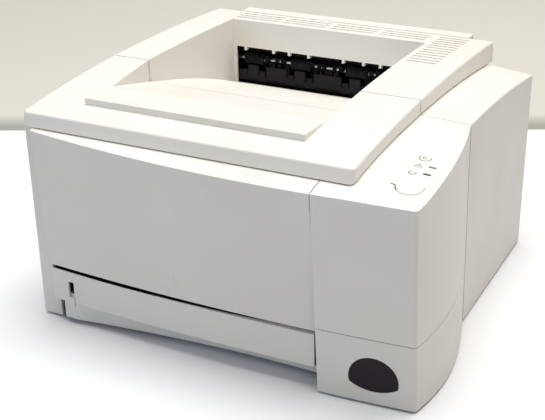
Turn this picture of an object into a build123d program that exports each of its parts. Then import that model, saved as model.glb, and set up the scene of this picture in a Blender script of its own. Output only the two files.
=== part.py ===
from build123d import *
import os
from math import acos, atan2, cos, degrees, hypot, pi, radians, sin, tan

os.makedirs("parts", exist_ok=True)

# Desktop laser printer. Millimetres, +Z up, front towards -Y, origin on the floor
# under the middle of the whole printer.

# Overall size
WIDTH = 405.0
DEPTH = 412.0
FOOT_HEIGHT = 4.0
COVER_BOTTOM = 2.5
WALL = 2.6
SEAM = 0.8
RUN = 0.05
LEFT = -WIDTH / 2
RIGHT = WIDTH / 2
FRONT = -DEPTH / 2
REAR = DEPTH / 2

# Front: a bowed, leaning face. STRIP is the flat front edge of the left cover.
FACE_REACH = 30.4
STRIP = FRONT + FACE_REACH
BOW_X = LEFT + 252.5
BOW_RADIUS = 1600.0
FACE_TOP = 200.8
FACE_LEAN = 0.0758
DOOR_BOTTOM = 61.0
DOOR_BOTTOM_REACH = 11.9
DOOR_BOTTOM_BOW_X = LEFT + 222.5
DOOR_BOTTOM_BOW = 2500.0
DOOR_LEFT = LEFT + 15.5
COLUMN_LEFT = LEFT + 307.5
COLUMN_RIGHT = LEFT + 398.0
COLUMN_SPLIT = 69.4
COLUMN_CORNER = 4.0

# Lid: one arched top surface, split across by the edge of the cartridge door
LID_LEFT = LEFT + 3.9
LID_RIGHT = LEFT + 337.1
LID_FRONT = STRIP - 9.0
LID_FRONT_TOP = STRIP - 6.2
LID_REAR = STRIP + 369.0
LID_CREST = STRIP + 165.0
LID_CREST_Z = 227.8
LID_FRONT_Z = 218.9
LID_REAR_Z = 220.1
LID_EDGE_ROUND = 2.4
LID_CORNER = 5.0
LID_SEAM = STRIP + 147.0
HUMP_LEFT = LEFT + 38.0
HUMP_RIGHT = LEFT + 311.0
HUMP_Z = 221.4

# Side rail: the curve on which the lid's lower edge lies, and the outer edge of the
# right-hand covers, each with a crest and a fall to the front and to the rear
RAIL_CREST = STRIP + 130.0
RAIL_CREST_Z = 212.5
RAIL_REAR = STRIP + 364.0
RAIL_REAR_Z = 197.0
RAIL_CURVE = 2.6
EDGE_CREST = STRIP + 140.0
EDGE_CREST_Z = 209.2
EDGE_FRONT_Z = 200.0
EDGE_REAR = STRIP + 356.0
EDGE_REAR_Z = 190.7
LID_GAP = 1.4

# Right side
SIDE_X = LEFT + 385.0
SIDE_STEP = 0.3
BULGE_Y = STRIP + 50.0
BULGE_TOP_Y = STRIP + 20.0
BULGE_TOP_X = RIGHT - 4.3
SIDE_SEAM_BOTTOM = STRIP + 157.0
SIDE_SEAM_TOP = STRIP + 149.0
SIDE_REAR_BOTTOM = STRIP + 350.0
SIDE_REAR_TOP = STRIP + 356.0

# Output bin and paper path
PATH_X = LEFT + 161.0
BIN_LEFT = LEFT + 46.2
BIN_RIGHT = LEFT + 276.5
BIN_FRONT_LEFT = LEFT + 53.0
BIN_FRONT_RIGHT = LEFT + 278.0
BIN_BACK = STRIP + 326.2
BIN_BACK_Z = 147.8
BIN_MIDDLE = STRIP + 194.0
BIN_MIDDLE_Z = 192.6
LIP_BACK = STRIP + 70.0
LIP_BACK_Z = 225.2
LIP_FRONT = STRIP + 25.0
LIP_Z = 228.2
LIP_ROUND = 40.0
SLOT_TOP = 192.0
SLOT_HALF = 111.5
TOOTH_PLACES = (21.0, 45.0, 64.6, 100.0)
TOOTH_WIDTH = 2.8
TOOTH_DROP = 4.0
LOUVRES = 12
LOUVRE_PITCH = 9.4
LOUVRE_WIDTH = 3.4
LOUVRE_LEFT = LEFT + 281.8
LOUVRE_RIGHT = LEFT + 314.0
LOUVRE_FRONT = STRIP + 252.5

# Cassette
CASSETTE_TOP = 57.0
CASSETTE_LEDGE = 24.0
CASSETTE_BOTTOM = 6.0
CASSETTE_LEFT = LEFT + 16.5
CASSETTE_REACH = 11.8
CASSETTE_BOW_X = LEFT + 228.0
CASSETTE_BOW = 3000.0
SCOOP_DEPTH = 18.6
TRAY_WALL = 2.2
TRAY_FLOOR = 2.0
TRAY_HALF = 121.0
TRAY_FRONT = STRIP + 9.5
TRAY_BACK = STRIP + 334.0
TRAY_FRONT_Z = 52.0
TRAY_SIDE_Z = 42.0
TRAY_REAR_Z = 27.0
PAPER_HALF = 108.5
TRAY_GAP = 0.3
GAUGE_LEFT = LEFT + 36.0
GAUGE_WIDTH = 6.6
GAUGE_LOW = 20.6
GAUGE_HEIGHT = 8.2
GAUGE_TRAVEL = 18.0
LIFT_PIVOT = (STRIP + 188.0, 10.2)
LIFT_FRONT = STRIP + 43.0
LIFT_FRONT_Z = 43.4
LIFT_THICK = 1.2
LIFT_HALF = 104.0

# Engine
PLATE = 1.5
FRAME_HALF = 130.0
FRAME_TOP = 192.0
FRAME_FRONT = STRIP + 24.0
PAN_REAR = SIDE_REAR_BOTTOM - WALL - 0.3
FLANGE = 12.0
PAN_Z = FOOT_HEIGHT
PAN_THICK = 1.2
FRAME_REAR = PAN_REAR - PAN_THICK - 0.3
PAN_TOP = PAN_Z + PAN_THICK
PAN_FLANGE = 22.0
FOOT_R = 9.0
SEAT = 0.3
SHAFT_R = 3.0
POST_PLACES = (STRIP + 190.0, STRIP + 240.0)

# Print drum, rollers and fuser: centre places in the side view and radii
DRUM = (STRIP + 128.0, 106.0)
DRUM_R = 15.0
TRANSFER_R = 8.0
TRANSFER = (DRUM[0], DRUM[1] - DRUM_R - TRANSFER_R - 0.3)
FUSER = (STRIP + 268.0, 104.0)
FUSER_R = 12.0
PRESS_R = 11.0
PRESS = (FUSER[0], FUSER[1] - FUSER_R - PRESS_R - 0.3)
EXIT = (STRIP + 337.0, 176.0)
EXIT_R = 6.8
EXIT_PLACES = (33.7, 92.7)
EXIT_WIDTH = 24.0
IDLER_R = 3.2
IDLER_TILT = 62.0
PICKUP = (STRIP + 44.0, 60.0)
PICKUP_R = 15.5
PICKUP_HALF = 24.0
REGISTER = (STRIP + 88.0, 81.5)
REGISTER_R = 6.5
HAND_FEED = (STRIP + 44.0, 98.5)
HAND_FEED_R = 12.0
ROLL_HALF = 112.0
NIP = 0.3

REGISTER_IDLER_R = 5.0
REGISTER_IDLER = (REGISTER[0], REGISTER[1] + REGISTER_R + REGISTER_IDLER_R + NIP)
EXIT_IDLER_OFF = EXIT_R + IDLER_R + NIP
EXIT_IDLER = (EXIT[0] + EXIT_IDLER_OFF * cos(radians(IDLER_TILT)), EXIT[1] + EXIT_IDLER_OFF * sin(radians(IDLER_TILT)))

# Scanner, boards, fan and sockets
SCANNER_Z = 124.0
SCANNER_HEIGHT = 27.0
BOARD_X = RIGHT - 44.0
BOARD_Z = 66.0
FAN_HALF = 30.0
FAN_DEEP = 14.0
FAN_Z = 166.0
FAN = (PATH_X + FRAME_HALF + PLATE + FAN_HALF + SEAT, STRIP + 298.0)
INLET_X = RIGHT - 49.0
INLET_Z = 40.0
SWITCH_X = RIGHT - 78.0
SWITCH_Z = 40.0
PANEL_Z = 184.0
BUTTON_STROKE = 1.2

# Back panel and its door
REAR_COVER_TOP = 196.0
REAR_DOOR_LEFT = PATH_X - 115.0
REAR_DOOR_RIGHT = PATH_X + 115.0
REAR_DOOR_LOW = 60.0
REAR_DOOR_TOP = 166.0
REAR_PIN = (SIDE_REAR_BOTTOM - 1.2, REAR_DOOR_LOW + 4.6)

# Gear train outside the left frame
MODULE = 2.0
PRESSURE_ANGLE = radians(20)
BACKLASH = 0.15
MESH_GAP = 0.1
MOTOR_TEETH = 10
MAIN_TEETH = 52
DRUM_TEETH = 20
FUSER_TEETH = 18
EXIT_IDLER_TEETH = 36
EXIT_TEETH = 11
GEAR_WIDTH = 7.0
GEAR_STAND = 15.5
STUD_R = 3.0
MOTOR_ANGLE = radians(215)
MOTOR_R = 24.0

# Cartridge door hinge: pins behind the seam and just under the top skin
DOOR_PIN_BACK = 20.0
DOOR_PIN_DROP = 8.4
DOOR_PIN_R = 2.2
ARM_WIDTH = 4.0
ARM_EYE = 5.2
DOOR_GAP = 1.2
DOOR_EDGE_CUT = 0.95

# Tray door hinge and its extension
TRAY_PIN_Y = STRIP - 0.2
TRAY_PIN_Z = 80.0
TRAY_PIN_R = 1.6
EAR_R = 3.0
EAR_WIDTH = 4.0
LINER_BOTTOM = 92.0
LINER_TOP = 195.0
LINER_THICK = 2.0
SHEET_GUIDE_TRAVEL = 55.0
EXTENSION_HALF = 88.0
EXTENSION_THICK = 1.8
EXTENSION_BACK = STRIP - 1.0 - LINER_THICK - SEAT

# Controls
BUTTON_X = RIGHT - 25.5
BUTTON_Y = STRIP + 8.5
BUTTON_R = 11.4
BUTTON_GAP = 0.35
LIGHT_X = RIGHT - 20.5
LIGHT_YS = (STRIP + 34.6, STRIP + 48.1)
LIGHT_LENGTH = 7.0
LIGHT_WIDTH = 2.6
WINDOW_X = RIGHT - 45.0
WINDOW_HALF = 22.0
WINDOW_TIP_Z = 22.0
WINDOW_TOP_Z = 50.6
WINDOW_LOW_Z = 15.4


def block(x0, x1, y0, y1, z0, z1):
    """Rectangular block between two opposite corners."""
    centre = ((x0 + x1) / 2, (y0 + y1) / 2, (z0 + z1) / 2)
    return Pos(*centre) * Box(abs(x1 - x0), abs(y1 - y0), abs(z1 - z0))


def rod_x(place, radius, x0, x1):
    """Round bar along X; place is its centre in the side view."""
    return Pos((x0 + x1) / 2, place[0], place[1]) * Rot(0, 90, 0) * Cylinder(radius, abs(x1 - x0))


def rod_y(x, z, radius, y0, y1):
    """Round bar along Y."""
    return Pos(x, (y0 + y1) / 2, z) * Rot(90, 0, 0) * Cylinder(radius, abs(y1 - y0))


def rod_z(x, y, radius, z0, z1):
    """Upright round bar."""
    return Pos(x, y, (z0 + z1) / 2) * Cylinder(radius, abs(z1 - z0))


def side_face(edges, x=0.0):
    """Closed outline of (y, z) edges laid in the side view at x."""
    return Plane.YZ.offset(x) * make_face(edges)


def side_prism(edges, x0, x1):
    """Side-view outline carried from x0 to x1."""
    return extrude(side_face(edges, x0), amount=x1 - x0, dir=(1, 0, 0))


def side_poly(points, x0, x1):
    """Straight-sided side-view outline carried from x0 to x1."""
    return side_prism(Polyline(*points, close=True).edges(), x0, x1)


def plan_poly(points, z0, z1):
    """Straight-sided plan outline carried from z0 up to z1."""
    face = make_face(Polyline(*points, close=True).edges())
    return extrude(Pos(0, 0, z0) * face, amount=z1 - z0, dir=(0, 0, 1))


def front_prism(edges, y0, y1):
    """Front-view outline of (x, z) edges carried from y0 back to y1."""
    face = Plane.XZ.offset(-y0) * make_face(edges)
    return extrude(face, amount=y1 - y0, dir=(0, 1, 0))


def arch(y, crest, crest_z, front, front_z, rear, rear_z, power=2.0):
    """Height of an arched line that falls from its crest to both ends."""
    if y < crest:
        return crest_z - (crest_z - front_z) * ((crest - y) / (crest - front)) ** power
    return crest_z - (crest_z - rear_z) * ((y - crest) / (rear - crest)) ** 2


def lid_z(y):
    """Height of the lid's top surface."""
    return arch(y, LID_CREST, LID_CREST_Z, LID_FRONT_TOP, LID_FRONT_Z, LID_REAR, LID_REAR_Z)


def rail_z(y):
    """Height of the covers where the lid's side comes down on them."""
    return arch(y, RAIL_CREST, RAIL_CREST_Z, FRONT, FACE_TOP, RAIL_REAR, RAIL_REAR_Z, RAIL_CURVE)


def edge_z(y):
    """Height of the right-hand covers at their outer edge."""
    front = FRONT + 6.4
    return arch(y, EDGE_CREST, EDGE_CREST_Z, front, EDGE_FRONT_Z, EDGE_REAR, EDGE_REAR_Z)


def stations(start, end, count):
    """Evenly spaced places from start to end."""
    return [start + (end - start) * i / (count - 1) for i in range(count)]


def curve(height, start, end, shift=0.0, count=9):
    """Smooth side-view line of a height function."""
    return Spline(*[(y, height(y) + shift) for y in stations(start, end, count)])


def above(height, start, end, x0, x1, shift=0.0, top=300.0):
    """Everything over an arched line, between x0 and x1."""
    line = curve(height, start, end, shift)
    rest = Polyline((end, height(end) + shift), (end, top), (start, top), (start, height(start) + shift))
    return side_prism(line.edges() + rest.edges(), x0, x1)


def above_covers(shift=0.0):
    """Everything over the top skin of the right-hand covers and the tray door."""
    start, end, top = FRONT - 20, REAR + 20, 300.0
    faces = []
    for x, height in ((LID_RIGHT, rail_z), (RIGHT, edge_z)):
        line = curve(height, start, end, shift)
        rest = Polyline((end, height(end) + shift), (end, top), (start, top), (start, height(start) + shift))
        faces.append(side_face(line.edges() + rest.edges(), x))
    ruled = loft(faces, ruled=True)
    flat = above(rail_z, start, end, LEFT - 10, LID_RIGHT, shift)
    return flat + ruled


def face_y(x, z):
    """Depth of the bowed, leaning front face."""
    return FRONT + (x - BOW_X) ** 2 / (2 * BOW_RADIUS) + FACE_LEAN * (FACE_TOP - z)


def door_bottom_y(x):
    """Depth of the tray door's lower edge."""
    return STRIP - DOOR_BOTTOM_REACH + (x - DOOR_BOTTOM_BOW_X) ** 2 / (2 * DOOR_BOTTOM_BOW)


def cassette_y(x):
    """Depth of the cassette's bowed front."""
    return STRIP - CASSETTE_REACH + (x - CASSETTE_BOW_X) ** 2 / (2 * CASSETTE_BOW)


def bow(depth, x0, x1, shift=0.0):
    """Bowed plan line of a depth function from x0 to x1."""
    middle = (x0 + x1) / 2
    return ThreePointArc(*[(x, depth(x) + shift) for x in (x0, middle, x1)])


# Tools that several covers are cut with

COVERS_TOP = above_covers()
COVERS_TOP_INNER = above_covers(-WALL)


def between(low, high, z, z_low, z_high):
    """Straight change of a size from z_low to z_high."""
    return low + (high - low) * (z - z_low) / (z_high - z_low)


def column_plan(z, inset):
    """Plan of the right-hand column at height z: bowed front, bulged side."""
    low, high = COVER_BOTTOM, FACE_TOP
    front_corner = COLUMN_RIGHT - inset
    widest = (between(RIGHT, BULGE_TOP_X, z, low, high) - inset, between(BULGE_Y, BULGE_TOP_Y, z, low, high))
    seam_y = between(SIDE_SEAM_BOTTOM, SIDE_SEAM_TOP, z, low, high)
    side_end = (SIDE_X - SIDE_STEP - inset, seam_y)
    x0 = COLUMN_LEFT - (20 if inset else 0)
    back = seam_y + (20 if inset else 0)
    front_line = bow(lambda x: face_y(x, z) + inset, x0, front_corner)
    corner = (front_corner, face_y(front_corner, z) + inset)
    side_front = Spline(corner, widest, tangents=((0.2, 1), (0, 1)))
    side_rear = Spline(widest, side_end, tangents=((0, 1), (-0.26, 1)))
    tail = [side_end]
    if inset:
        tail.append((side_end[0] - 0.26 * 20, back))
    start = (x0, face_y(x0, z) + inset)
    rest = Polyline(*tail, (x0, back), start)
    face = make_face(front_line.edges() + side_front.edges() + side_rear.edges() + rest.edges())
    sharp = [v for v in face.vertices() if abs(v.X - corner[0]) + abs(v.Y - corner[1]) < 0.01]
    rounded = fillet(sharp, max(COLUMN_CORNER - inset, 1.0))
    return Pos(0, 0, z) * rounded


def column_block(inset):
    """Column from under its lower edge to over its top."""
    z_low = COVER_BOTTOM - (5 if inset else 0)
    return loft([column_plan(z_low, inset), column_plan(RAIL_CREST_Z + 6, inset)], ruled=True)


COLUMN_OUTER = column_block(0)
COLUMN_INNER = column_block(WALL)


def slab(z0, z1):
    """Whole-width slice used to part pieces by height."""
    return block(LEFT - 50, RIGHT + 50, FRONT - 50, REAR + 50, z0, z1)


def control_cover():
    """Upper column: leaning front, bulged side and the sloping control panel."""
    upper = slab(COLUMN_SPLIT + SEAM / 2, 300)
    cover = ((COLUMN_OUTER & upper) - COVERS_TOP) - (COLUMN_INNER - COVERS_TOP_INNER)
    cover -= rod_z(BUTTON_X, BUTTON_Y, BUTTON_R + BUTTON_GAP, 150, 260)
    for y in LIGHT_YS:
        cover -= light_hole(y, 150, 260, 0.1)
    return cover


def light_hole(y, z0, z1, grow):
    """Round-ended slot that a light pipe stands in."""
    slot = SlotOverall(LIGHT_LENGTH + 2 * grow, LIGHT_WIDTH + 2 * grow)
    return extrude(Pos(LIGHT_X, y, z0) * slot, amount=z1 - z0)


def window_edges(grow):
    """Half-round outline of the infrared window."""
    left = (WINDOW_X - WINDOW_HALF - grow, WINDOW_TIP_Z)
    right = (WINDOW_X + WINDOW_HALF + grow, WINDOW_TIP_Z)
    dome = ThreePointArc(left, (WINDOW_X, WINDOW_TOP_Z + grow), right)
    sill = ThreePointArc(right, (WINDOW_X, WINDOW_LOW_Z - grow), left)
    return dome.edges() + sill.edges()


def column_foot():
    """Lower column with the window opening."""
    foot = (COLUMN_OUTER & slab(COVER_BOTTOM, COLUMN_SPLIT - SEAM / 2)) - COLUMN_INNER
    foot -= front_prism(window_edges(0.2), FRONT - 5, STRIP + 5)
    tab = block(COLUMN_LEFT + 6, COLUMN_LEFT + 26, STRIP + 8, STRIP + 30, PAN_TOP, PAN_TOP + 2)
    post = block(COLUMN_LEFT + 6, COLUMN_LEFT + 26, STRIP - 12, STRIP + 8.2, PAN_TOP, 12)
    return foot + tab + (post & COLUMN_OUTER)


def ir_window():
    """Dark window, flush with the leaning front, with a rim behind the cover."""
    lens = (front_prism(window_edges(0), FRONT - 5, STRIP + 5) & COLUMN_OUTER) - COLUMN_INNER
    rim = front_prism(window_edges(2.5), FRONT - 5, STRIP + 5)
    inner = column_block(WALL + 0.3) - column_block(WALL + 1.8)
    neck = front_prism(window_edges(0), FRONT - 5, STRIP + 5) & (column_block(WALL - 0.1) - column_block(WALL + 1.0))
    return lens + neck + (rim & inner)


def side_cover_block(inset):
    """Right rear cover as a solid: flat side, slanted ends."""
    front_low = SIDE_SEAM_BOTTOM + SEAM
    front_high = between(SIDE_SEAM_BOTTOM, SIDE_SEAM_TOP, 230, COVER_BOTTOM, FACE_TOP) + SEAM
    rear_low = SIDE_REAR_BOTTOM
    rear_high = between(SIDE_REAR_BOTTOM, SIDE_REAR_TOP, 230, COVER_BOTTOM, EDGE_REAR_Z)
    if inset:
        front_low, front_high = front_low - 20, front_high - 20
        rear_low, rear_high = rear_low - inset, rear_high - inset
    bottom = COVER_BOTTOM - (5 if inset else 0)
    outline = [(front_low, bottom), (rear_low, bottom), (rear_high, 230), (front_high, 230)]
    left = LID_RIGHT - 22 - (20 if inset else 0)
    return side_poly(outline, left, SIDE_X - inset)


def right_cover():
    """Flat side panel with the arched top that carries the lid's edge."""
    cover = (side_cover_block(0) - COVERS_TOP) - (side_cover_block(WALL) - COVERS_TOP_INNER)
    for tool in socket_holes():
        cover -= tool
    edges = cover.edges().filter_by(lambda e: e.center().X > SIDE_X - 0.1 and e.center().Z > 150)
    edges = edges.filter_by(lambda e: e.bounding_box().size.Y > 100)
    return fillet(edges, 1.6)


def socket_holes():
    """Holes in the back wall for the mains socket, its switch and the port."""
    y0, y1, gap = SIDE_REAR_BOTTOM - 8, SIDE_REAR_BOTTOM + 20, 0.2
    inlet = block(INLET_X - 13.5 - gap, INLET_X + 13.5 + gap, y0, y1, INLET_Z - 10 - gap, INLET_Z + 10 + gap)
    switch = block(SWITCH_X - 8 - gap, SWITCH_X + 8 + gap, y0, y1, SWITCH_Z - 11 - gap, SWITCH_Z + 11 + gap)
    port = block(BOARD_X - 12 - gap, BOARD_X + gap, y0, y1, BOARD_Z + 24 - gap, BOARD_Z + 84 + gap)
    return (inlet, switch, port)


def left_cover():
    """Left side panel with its front strip, foot block and top flange."""
    rear_high = between(SIDE_REAR_BOTTOM, SIDE_REAR_TOP, 230, COVER_BOTTOM, EDGE_REAR_Z)
    outline = [(STRIP, COVER_BOTTOM), (SIDE_REAR_BOTTOM, COVER_BOTTOM), (rear_high, 230), (STRIP, 230)]
    hollow = [(STRIP + WALL, -5), (SIDE_REAR_BOTTOM - WALL, -5), (rear_high - WALL, 230), (STRIP + WALL, 230)]
    outer = side_poly(outline, LEFT, LEFT + 27)
    inner = side_poly(hollow, LEFT + WALL, LEFT + 60)
    cover = (outer - COVERS_TOP) - (inner - COVERS_TOP_INNER)
    cover -= block(DOOR_LEFT - 0.7, LEFT + 40, STRIP - 5, STRIP + 10, CASSETTE_LEDGE - 1, 260)
    cover -= block(CASSETTE_LEFT + 4.5, LEFT + 40, STRIP - 5, STRIP + 10, -5, CASSETTE_LEDGE)
    return cover


def lid_edges(inset):
    """Side-view outline of the lid: leaning front, arched top, curved lower rim."""
    front = LID_FRONT + inset
    front_top = LID_FRONT_TOP + inset
    rear = LID_REAR - inset
    drop = -40 if inset else LID_GAP
    top = curve(lid_z, front_top, rear, -inset)
    rim = curve(rail_z, front, rear, drop)
    nose = Line((front, rail_z(front) + drop), (front_top, lid_z(front_top) - inset))
    tail = Line((rear, lid_z(rear) - inset), (rear, rail_z(rear) + drop))
    return nose.edges() + top.edges() + tail.edges() + rim.edges()


def lid_block(inset):
    """Lid as a solid, with soft corners and a soft top edge on the outside."""
    solid = side_prism(lid_edges(inset), LID_LEFT + inset, LID_RIGHT - inset)
    if inset:
        return solid
    corners = solid.edges().filter_by(lambda e: e.center().Y < LID_FRONT_TOP + 0.5 and e.bounding_box().size.X < 0.1)
    solid = fillet(corners, LID_CORNER)
    rim = solid.edges().filter_by(lambda e: e.center().Z > LID_FRONT_Z - 1.0)
    return fillet(rim, LID_EDGE_ROUND)


def bin_floor(shift):
    """Floor line of the output bin from the lip down to the slot."""
    start = (LIP_FRONT, LIP_Z + shift)
    bend = (LIP_BACK, LIP_BACK_Z + shift)
    middle = (BIN_MIDDLE, BIN_MIDDLE_Z + shift)
    head = FilletPolyline(start, bend, middle, radius=LIP_ROUND)
    tail = TangentArc(head @ 1, (BIN_BACK, BIN_BACK_Z + shift), tangent=head % 1)
    return head.edges() + tail.edges()


def bin_plan(grow):
    """Plan outline of the bin, wider by grow on its three walls."""
    return [
        (BIN_LEFT - grow, BIN_BACK + grow),
        (BIN_LEFT - grow, LID_SEAM),
        (BIN_FRONT_LEFT - grow, LIP_BACK),
        (BIN_FRONT_LEFT - grow, LIP_FRONT),
        (BIN_FRONT_RIGHT + grow, LIP_FRONT),
        (BIN_FRONT_RIGHT + grow, LID_SEAM - 40),
        (BIN_RIGHT + grow, BIN_BACK + grow),
    ]


def bin_void(grow):
    """Space over the bin floor, grown to make the tub around it."""
    back = BIN_BACK + grow
    floor = bin_floor(-grow)
    end_z = BIN_BACK_Z - grow
    points = [(BIN_BACK, end_z), (back, end_z), (back, 280), (LIP_FRONT, 280), (LIP_FRONT, LIP_Z - grow)]
    if not grow:
        points = points[:1] + points[2:]
    rest = Polyline(*points)
    space = side_prism(floor + rest.edges(), BIN_LEFT - 20, BIN_FRONT_RIGHT + 20)
    return space & plan_poly(bin_plan(grow), 100, 280)


LID_OUTER = lid_block(0)
LID_SHELL = LID_OUTER - lid_block(WALL)
BIN_SPACE = bin_void(0)
BIN_TUB = bin_void(WALL) - BIN_SPACE


def lid_half(front, rear):
    """Lid skin and bin tub between two depths."""
    zone = block(LEFT - 10, RIGHT, front, rear, 60, 300)
    skin = (LID_SHELL & zone) - BIN_SPACE
    tub = BIN_TUB & zone & (LID_OUTER + block(LID_LEFT + 5, LID_RIGHT - 5, LIP_BACK, BIN_BACK + 20, 100, RAIL_CREST_Z + 5))
    return skin + tub


def lip_plate():
    """Raised plate that ends the bin at the front, over the lid's skin."""
    line = FilletPolyline((LIP_FRONT, LIP_Z), (LIP_BACK, LIP_BACK_Z), (BIN_MIDDLE, BIN_MIDDLE_Z), radius=LIP_ROUND)
    low = lid_z(LIP_FRONT) - WALL
    rest = Polyline((BIN_MIDDLE, BIN_MIDDLE_Z), (BIN_MIDDLE, BIN_MIDDLE_Z - WALL), (LIP_FRONT + WALL, low), (LIP_FRONT, low), (LIP_FRONT, LIP_Z))
    solid = side_prism(line.edges() + rest.edges(), BIN_FRONT_LEFT, BIN_FRONT_RIGHT)
    plate = solid & block(LEFT, RIGHT, LIP_FRONT, LIP_BACK + 14, 200, 240)
    hollow = plate & Pos(0, WALL, -WALL) * plate
    return plate - (hollow & block(BIN_FRONT_LEFT + WALL, BIN_FRONT_RIGHT - WALL, LIP_FRONT, LIP_BACK + 20, 200, 240))


PIN_Y = LID_SEAM - DOOR_GAP / 2 + DOOR_PIN_BACK
PIN_Z = lid_z(LID_SEAM) - DOOR_PIN_DROP
ARM_PLACES = (BIN_LEFT - WALL - 3.0 - ARM_WIDTH, BIN_RIGHT + WALL + 3.0)


def swan_arm(x0):
    """Bent hinge arm that dips under the fixed lid's front edge."""
    seam = LID_SEAM - DOOR_GAP / 2
    neck = [
        (PIN_Y - 4.0, PIN_Z - 3.2), (PIN_Y + 4.0, PIN_Z - 3.2), (PIN_Y + 1.5, PIN_Z - 14), (PIN_Y - 6, PIN_Z - 22),
        (seam - 12, PIN_Z - 22), (seam - 20, PIN_Z + 3.0), (seam - 4, PIN_Z + 3.0), (seam - 1.5, PIN_Z - 14.5),
        (PIN_Y - 11, PIN_Z - 14.5), (PIN_Y - 7, PIN_Z - 11),
    ]
    arm = side_poly(neck, x0, x0 + ARM_WIDTH)
    eye = rod_x((PIN_Y, PIN_Z), ARM_EYE, x0, x0 + ARM_WIDTH)
    return arm + eye - rod_x((PIN_Y, PIN_Z), DOOR_PIN_R + RUN, x0 - 1, x0 + ARM_WIDTH + 1)


def cartridge_door():
    """Front half of the lid: lifts for the cartridge, carries the bin's lip."""
    seam = LID_SEAM - DOOR_GAP / 2
    turning_room = rod_x((PIN_Y, PIN_Z), DOOR_PIN_BACK + DOOR_EDGE_CUT, LEFT, RIGHT)
    door = lid_half(LID_FRONT - 10, seam) - turning_room + lip_plate()
    door -= BIN_SPACE
    for x0 in ARM_PLACES:
        arm = swan_arm(x0)
        pad = block(x0 - 4, x0 + ARM_WIDTH + 4, seam - 24, seam - 2.6, PIN_Z, PIN_Z + 8) & LID_OUTER
        door += arm + (pad - (LID_OUTER - lid_block(WALL - 0.2)))
    for x in (LID_LEFT + 12, PATH_X, LID_RIGHT - 14):
        rib = block(x - 1, x + 1, LID_FRONT + 4, LIP_FRONT - 2, 213, 226)
        door += rib & lid_block(WALL - 0.2)
    return door


def pin_ears():
    """Ears under the fixed lid's skin that hold the hinge pins."""
    ears = []
    for x0 in ARM_PLACES:
        outer = x0 > PATH_X
        near = x0 + ARM_WIDTH + 0.4 if outer else x0 - 0.4
        far = near + 4 if outer else near - 4
        plate = side_poly(
            [(PIN_Y - 6, PIN_Z - 6), (PIN_Y + 6, PIN_Z - 6), (PIN_Y + 16, PIN_Z + 8), (PIN_Y - 8, PIN_Z + 8)],
            min(near, far), max(near, far),
        )
        ears.append(plate)
    return ears


def door_pins():
    """Hinge pins moulded on the ears."""
    pins = []
    for x0 in ARM_PLACES:
        ends = (x0 + 0.6, x0 + ARM_WIDTH + 2) if x0 > PATH_X else (x0 - 2, x0 + ARM_WIDTH - 0.6)
        pins.append(rod_x((PIN_Y, PIN_Z), DOOR_PIN_R, *ends))
    return pins


def louvre_cuts():
    """Slots across the right arm and the strip behind the bin."""
    cuts = []
    for i in range(LOUVRES):
        y = LOUVRE_FRONT + LOUVRE_PITCH * i
        runs = [(LOUVRE_LEFT, LOUVRE_RIGHT)]
        if y > BIN_BACK + 2 * WALL:
            span = (LOUVRE_LEFT - 6 - HUMP_LEFT - 6) / 4
            runs += [(HUMP_LEFT + 6 + span * k, HUMP_LEFT + 6 + span * (k + 1) - 5) for k in range(4)]
        for x0, x1 in runs:
            cuts.append(block(x0, x1, y, y + LOUVRE_WIDTH, lid_z(y) - WALL - 6, 240))
    return cuts


def top_cover():
    """Fixed rear half of the lid with the bin, its slot and the louvres."""
    seam = LID_SEAM + DOOR_GAP / 2
    cover = lid_half(seam, LID_REAR + 1)
    hump = block(HUMP_LEFT, HUMP_RIGHT, LID_REAR - WALL, REAR, RAIL_REAR_Z, HUMP_Z)
    hump -= block(HUMP_LEFT + WALL, HUMP_RIGHT - WALL, LID_REAR - 2 * WALL, REAR - WALL, RAIL_REAR_Z - 5, HUMP_Z - WALL)
    cover += hump
    slot = block(PATH_X - SLOT_HALF, PATH_X + SLOT_HALF, BIN_BACK - 2, BIN_BACK + 12, BIN_BACK_Z, SLOT_TOP)
    cover -= slot
    for side in (-1, 1):
        for place in TOOTH_PLACES:
            x = PATH_X + side * place
            cover += block(x - TOOTH_WIDTH / 2, x + TOOTH_WIDTH / 2, BIN_BACK, BIN_BACK + 6, SLOT_TOP - TOOTH_DROP, SLOT_TOP + 2)
    for cut in louvre_cuts():
        cover -= cut
    for ear in pin_ears():
        cover += ear & (lid_block(WALL - 0.2))
    for pin in door_pins():
        cover += pin
    for x in (PATH_X - FRAME_HALF + FLANGE / 2, PATH_X + FRAME_HALF + PLATE + FLANGE / 2):
        for y in (POST_PLACES):
            post = rod_z(x, y, 3.6, FRAME_TOP, 240)
            cover += post & lid_block(WALL - 0.2)
    return cover


def tray_door_block(inset):
    """Tray door as a solid between its bowed, leaning face and its back plane."""
    x0, x1 = DOOR_LEFT + inset, COLUMN_LEFT - 1.0 - inset
    back = STRIP + 2.0 + (10 if inset else 0)
    faces = []
    z_low, z_high = DOOR_BOTTOM + inset, RAIL_CREST_Z
    for z in (z_low, z_high):
        def depth(x, z=z):
            low = door_bottom_y(x)
            high = face_y(x, FACE_TOP)
            return between(low, high, z, DOOR_BOTTOM, FACE_TOP) + inset
        front = bow(depth, x0, x1)
        rest = Polyline((x1, depth(x1)), (x1, back), (x0, back), (x0, depth(x0)))
        faces.append(Pos(0, 0, z) * make_face(front.edges() + rest.edges()))
    return loft(faces, ruled=True)


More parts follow.
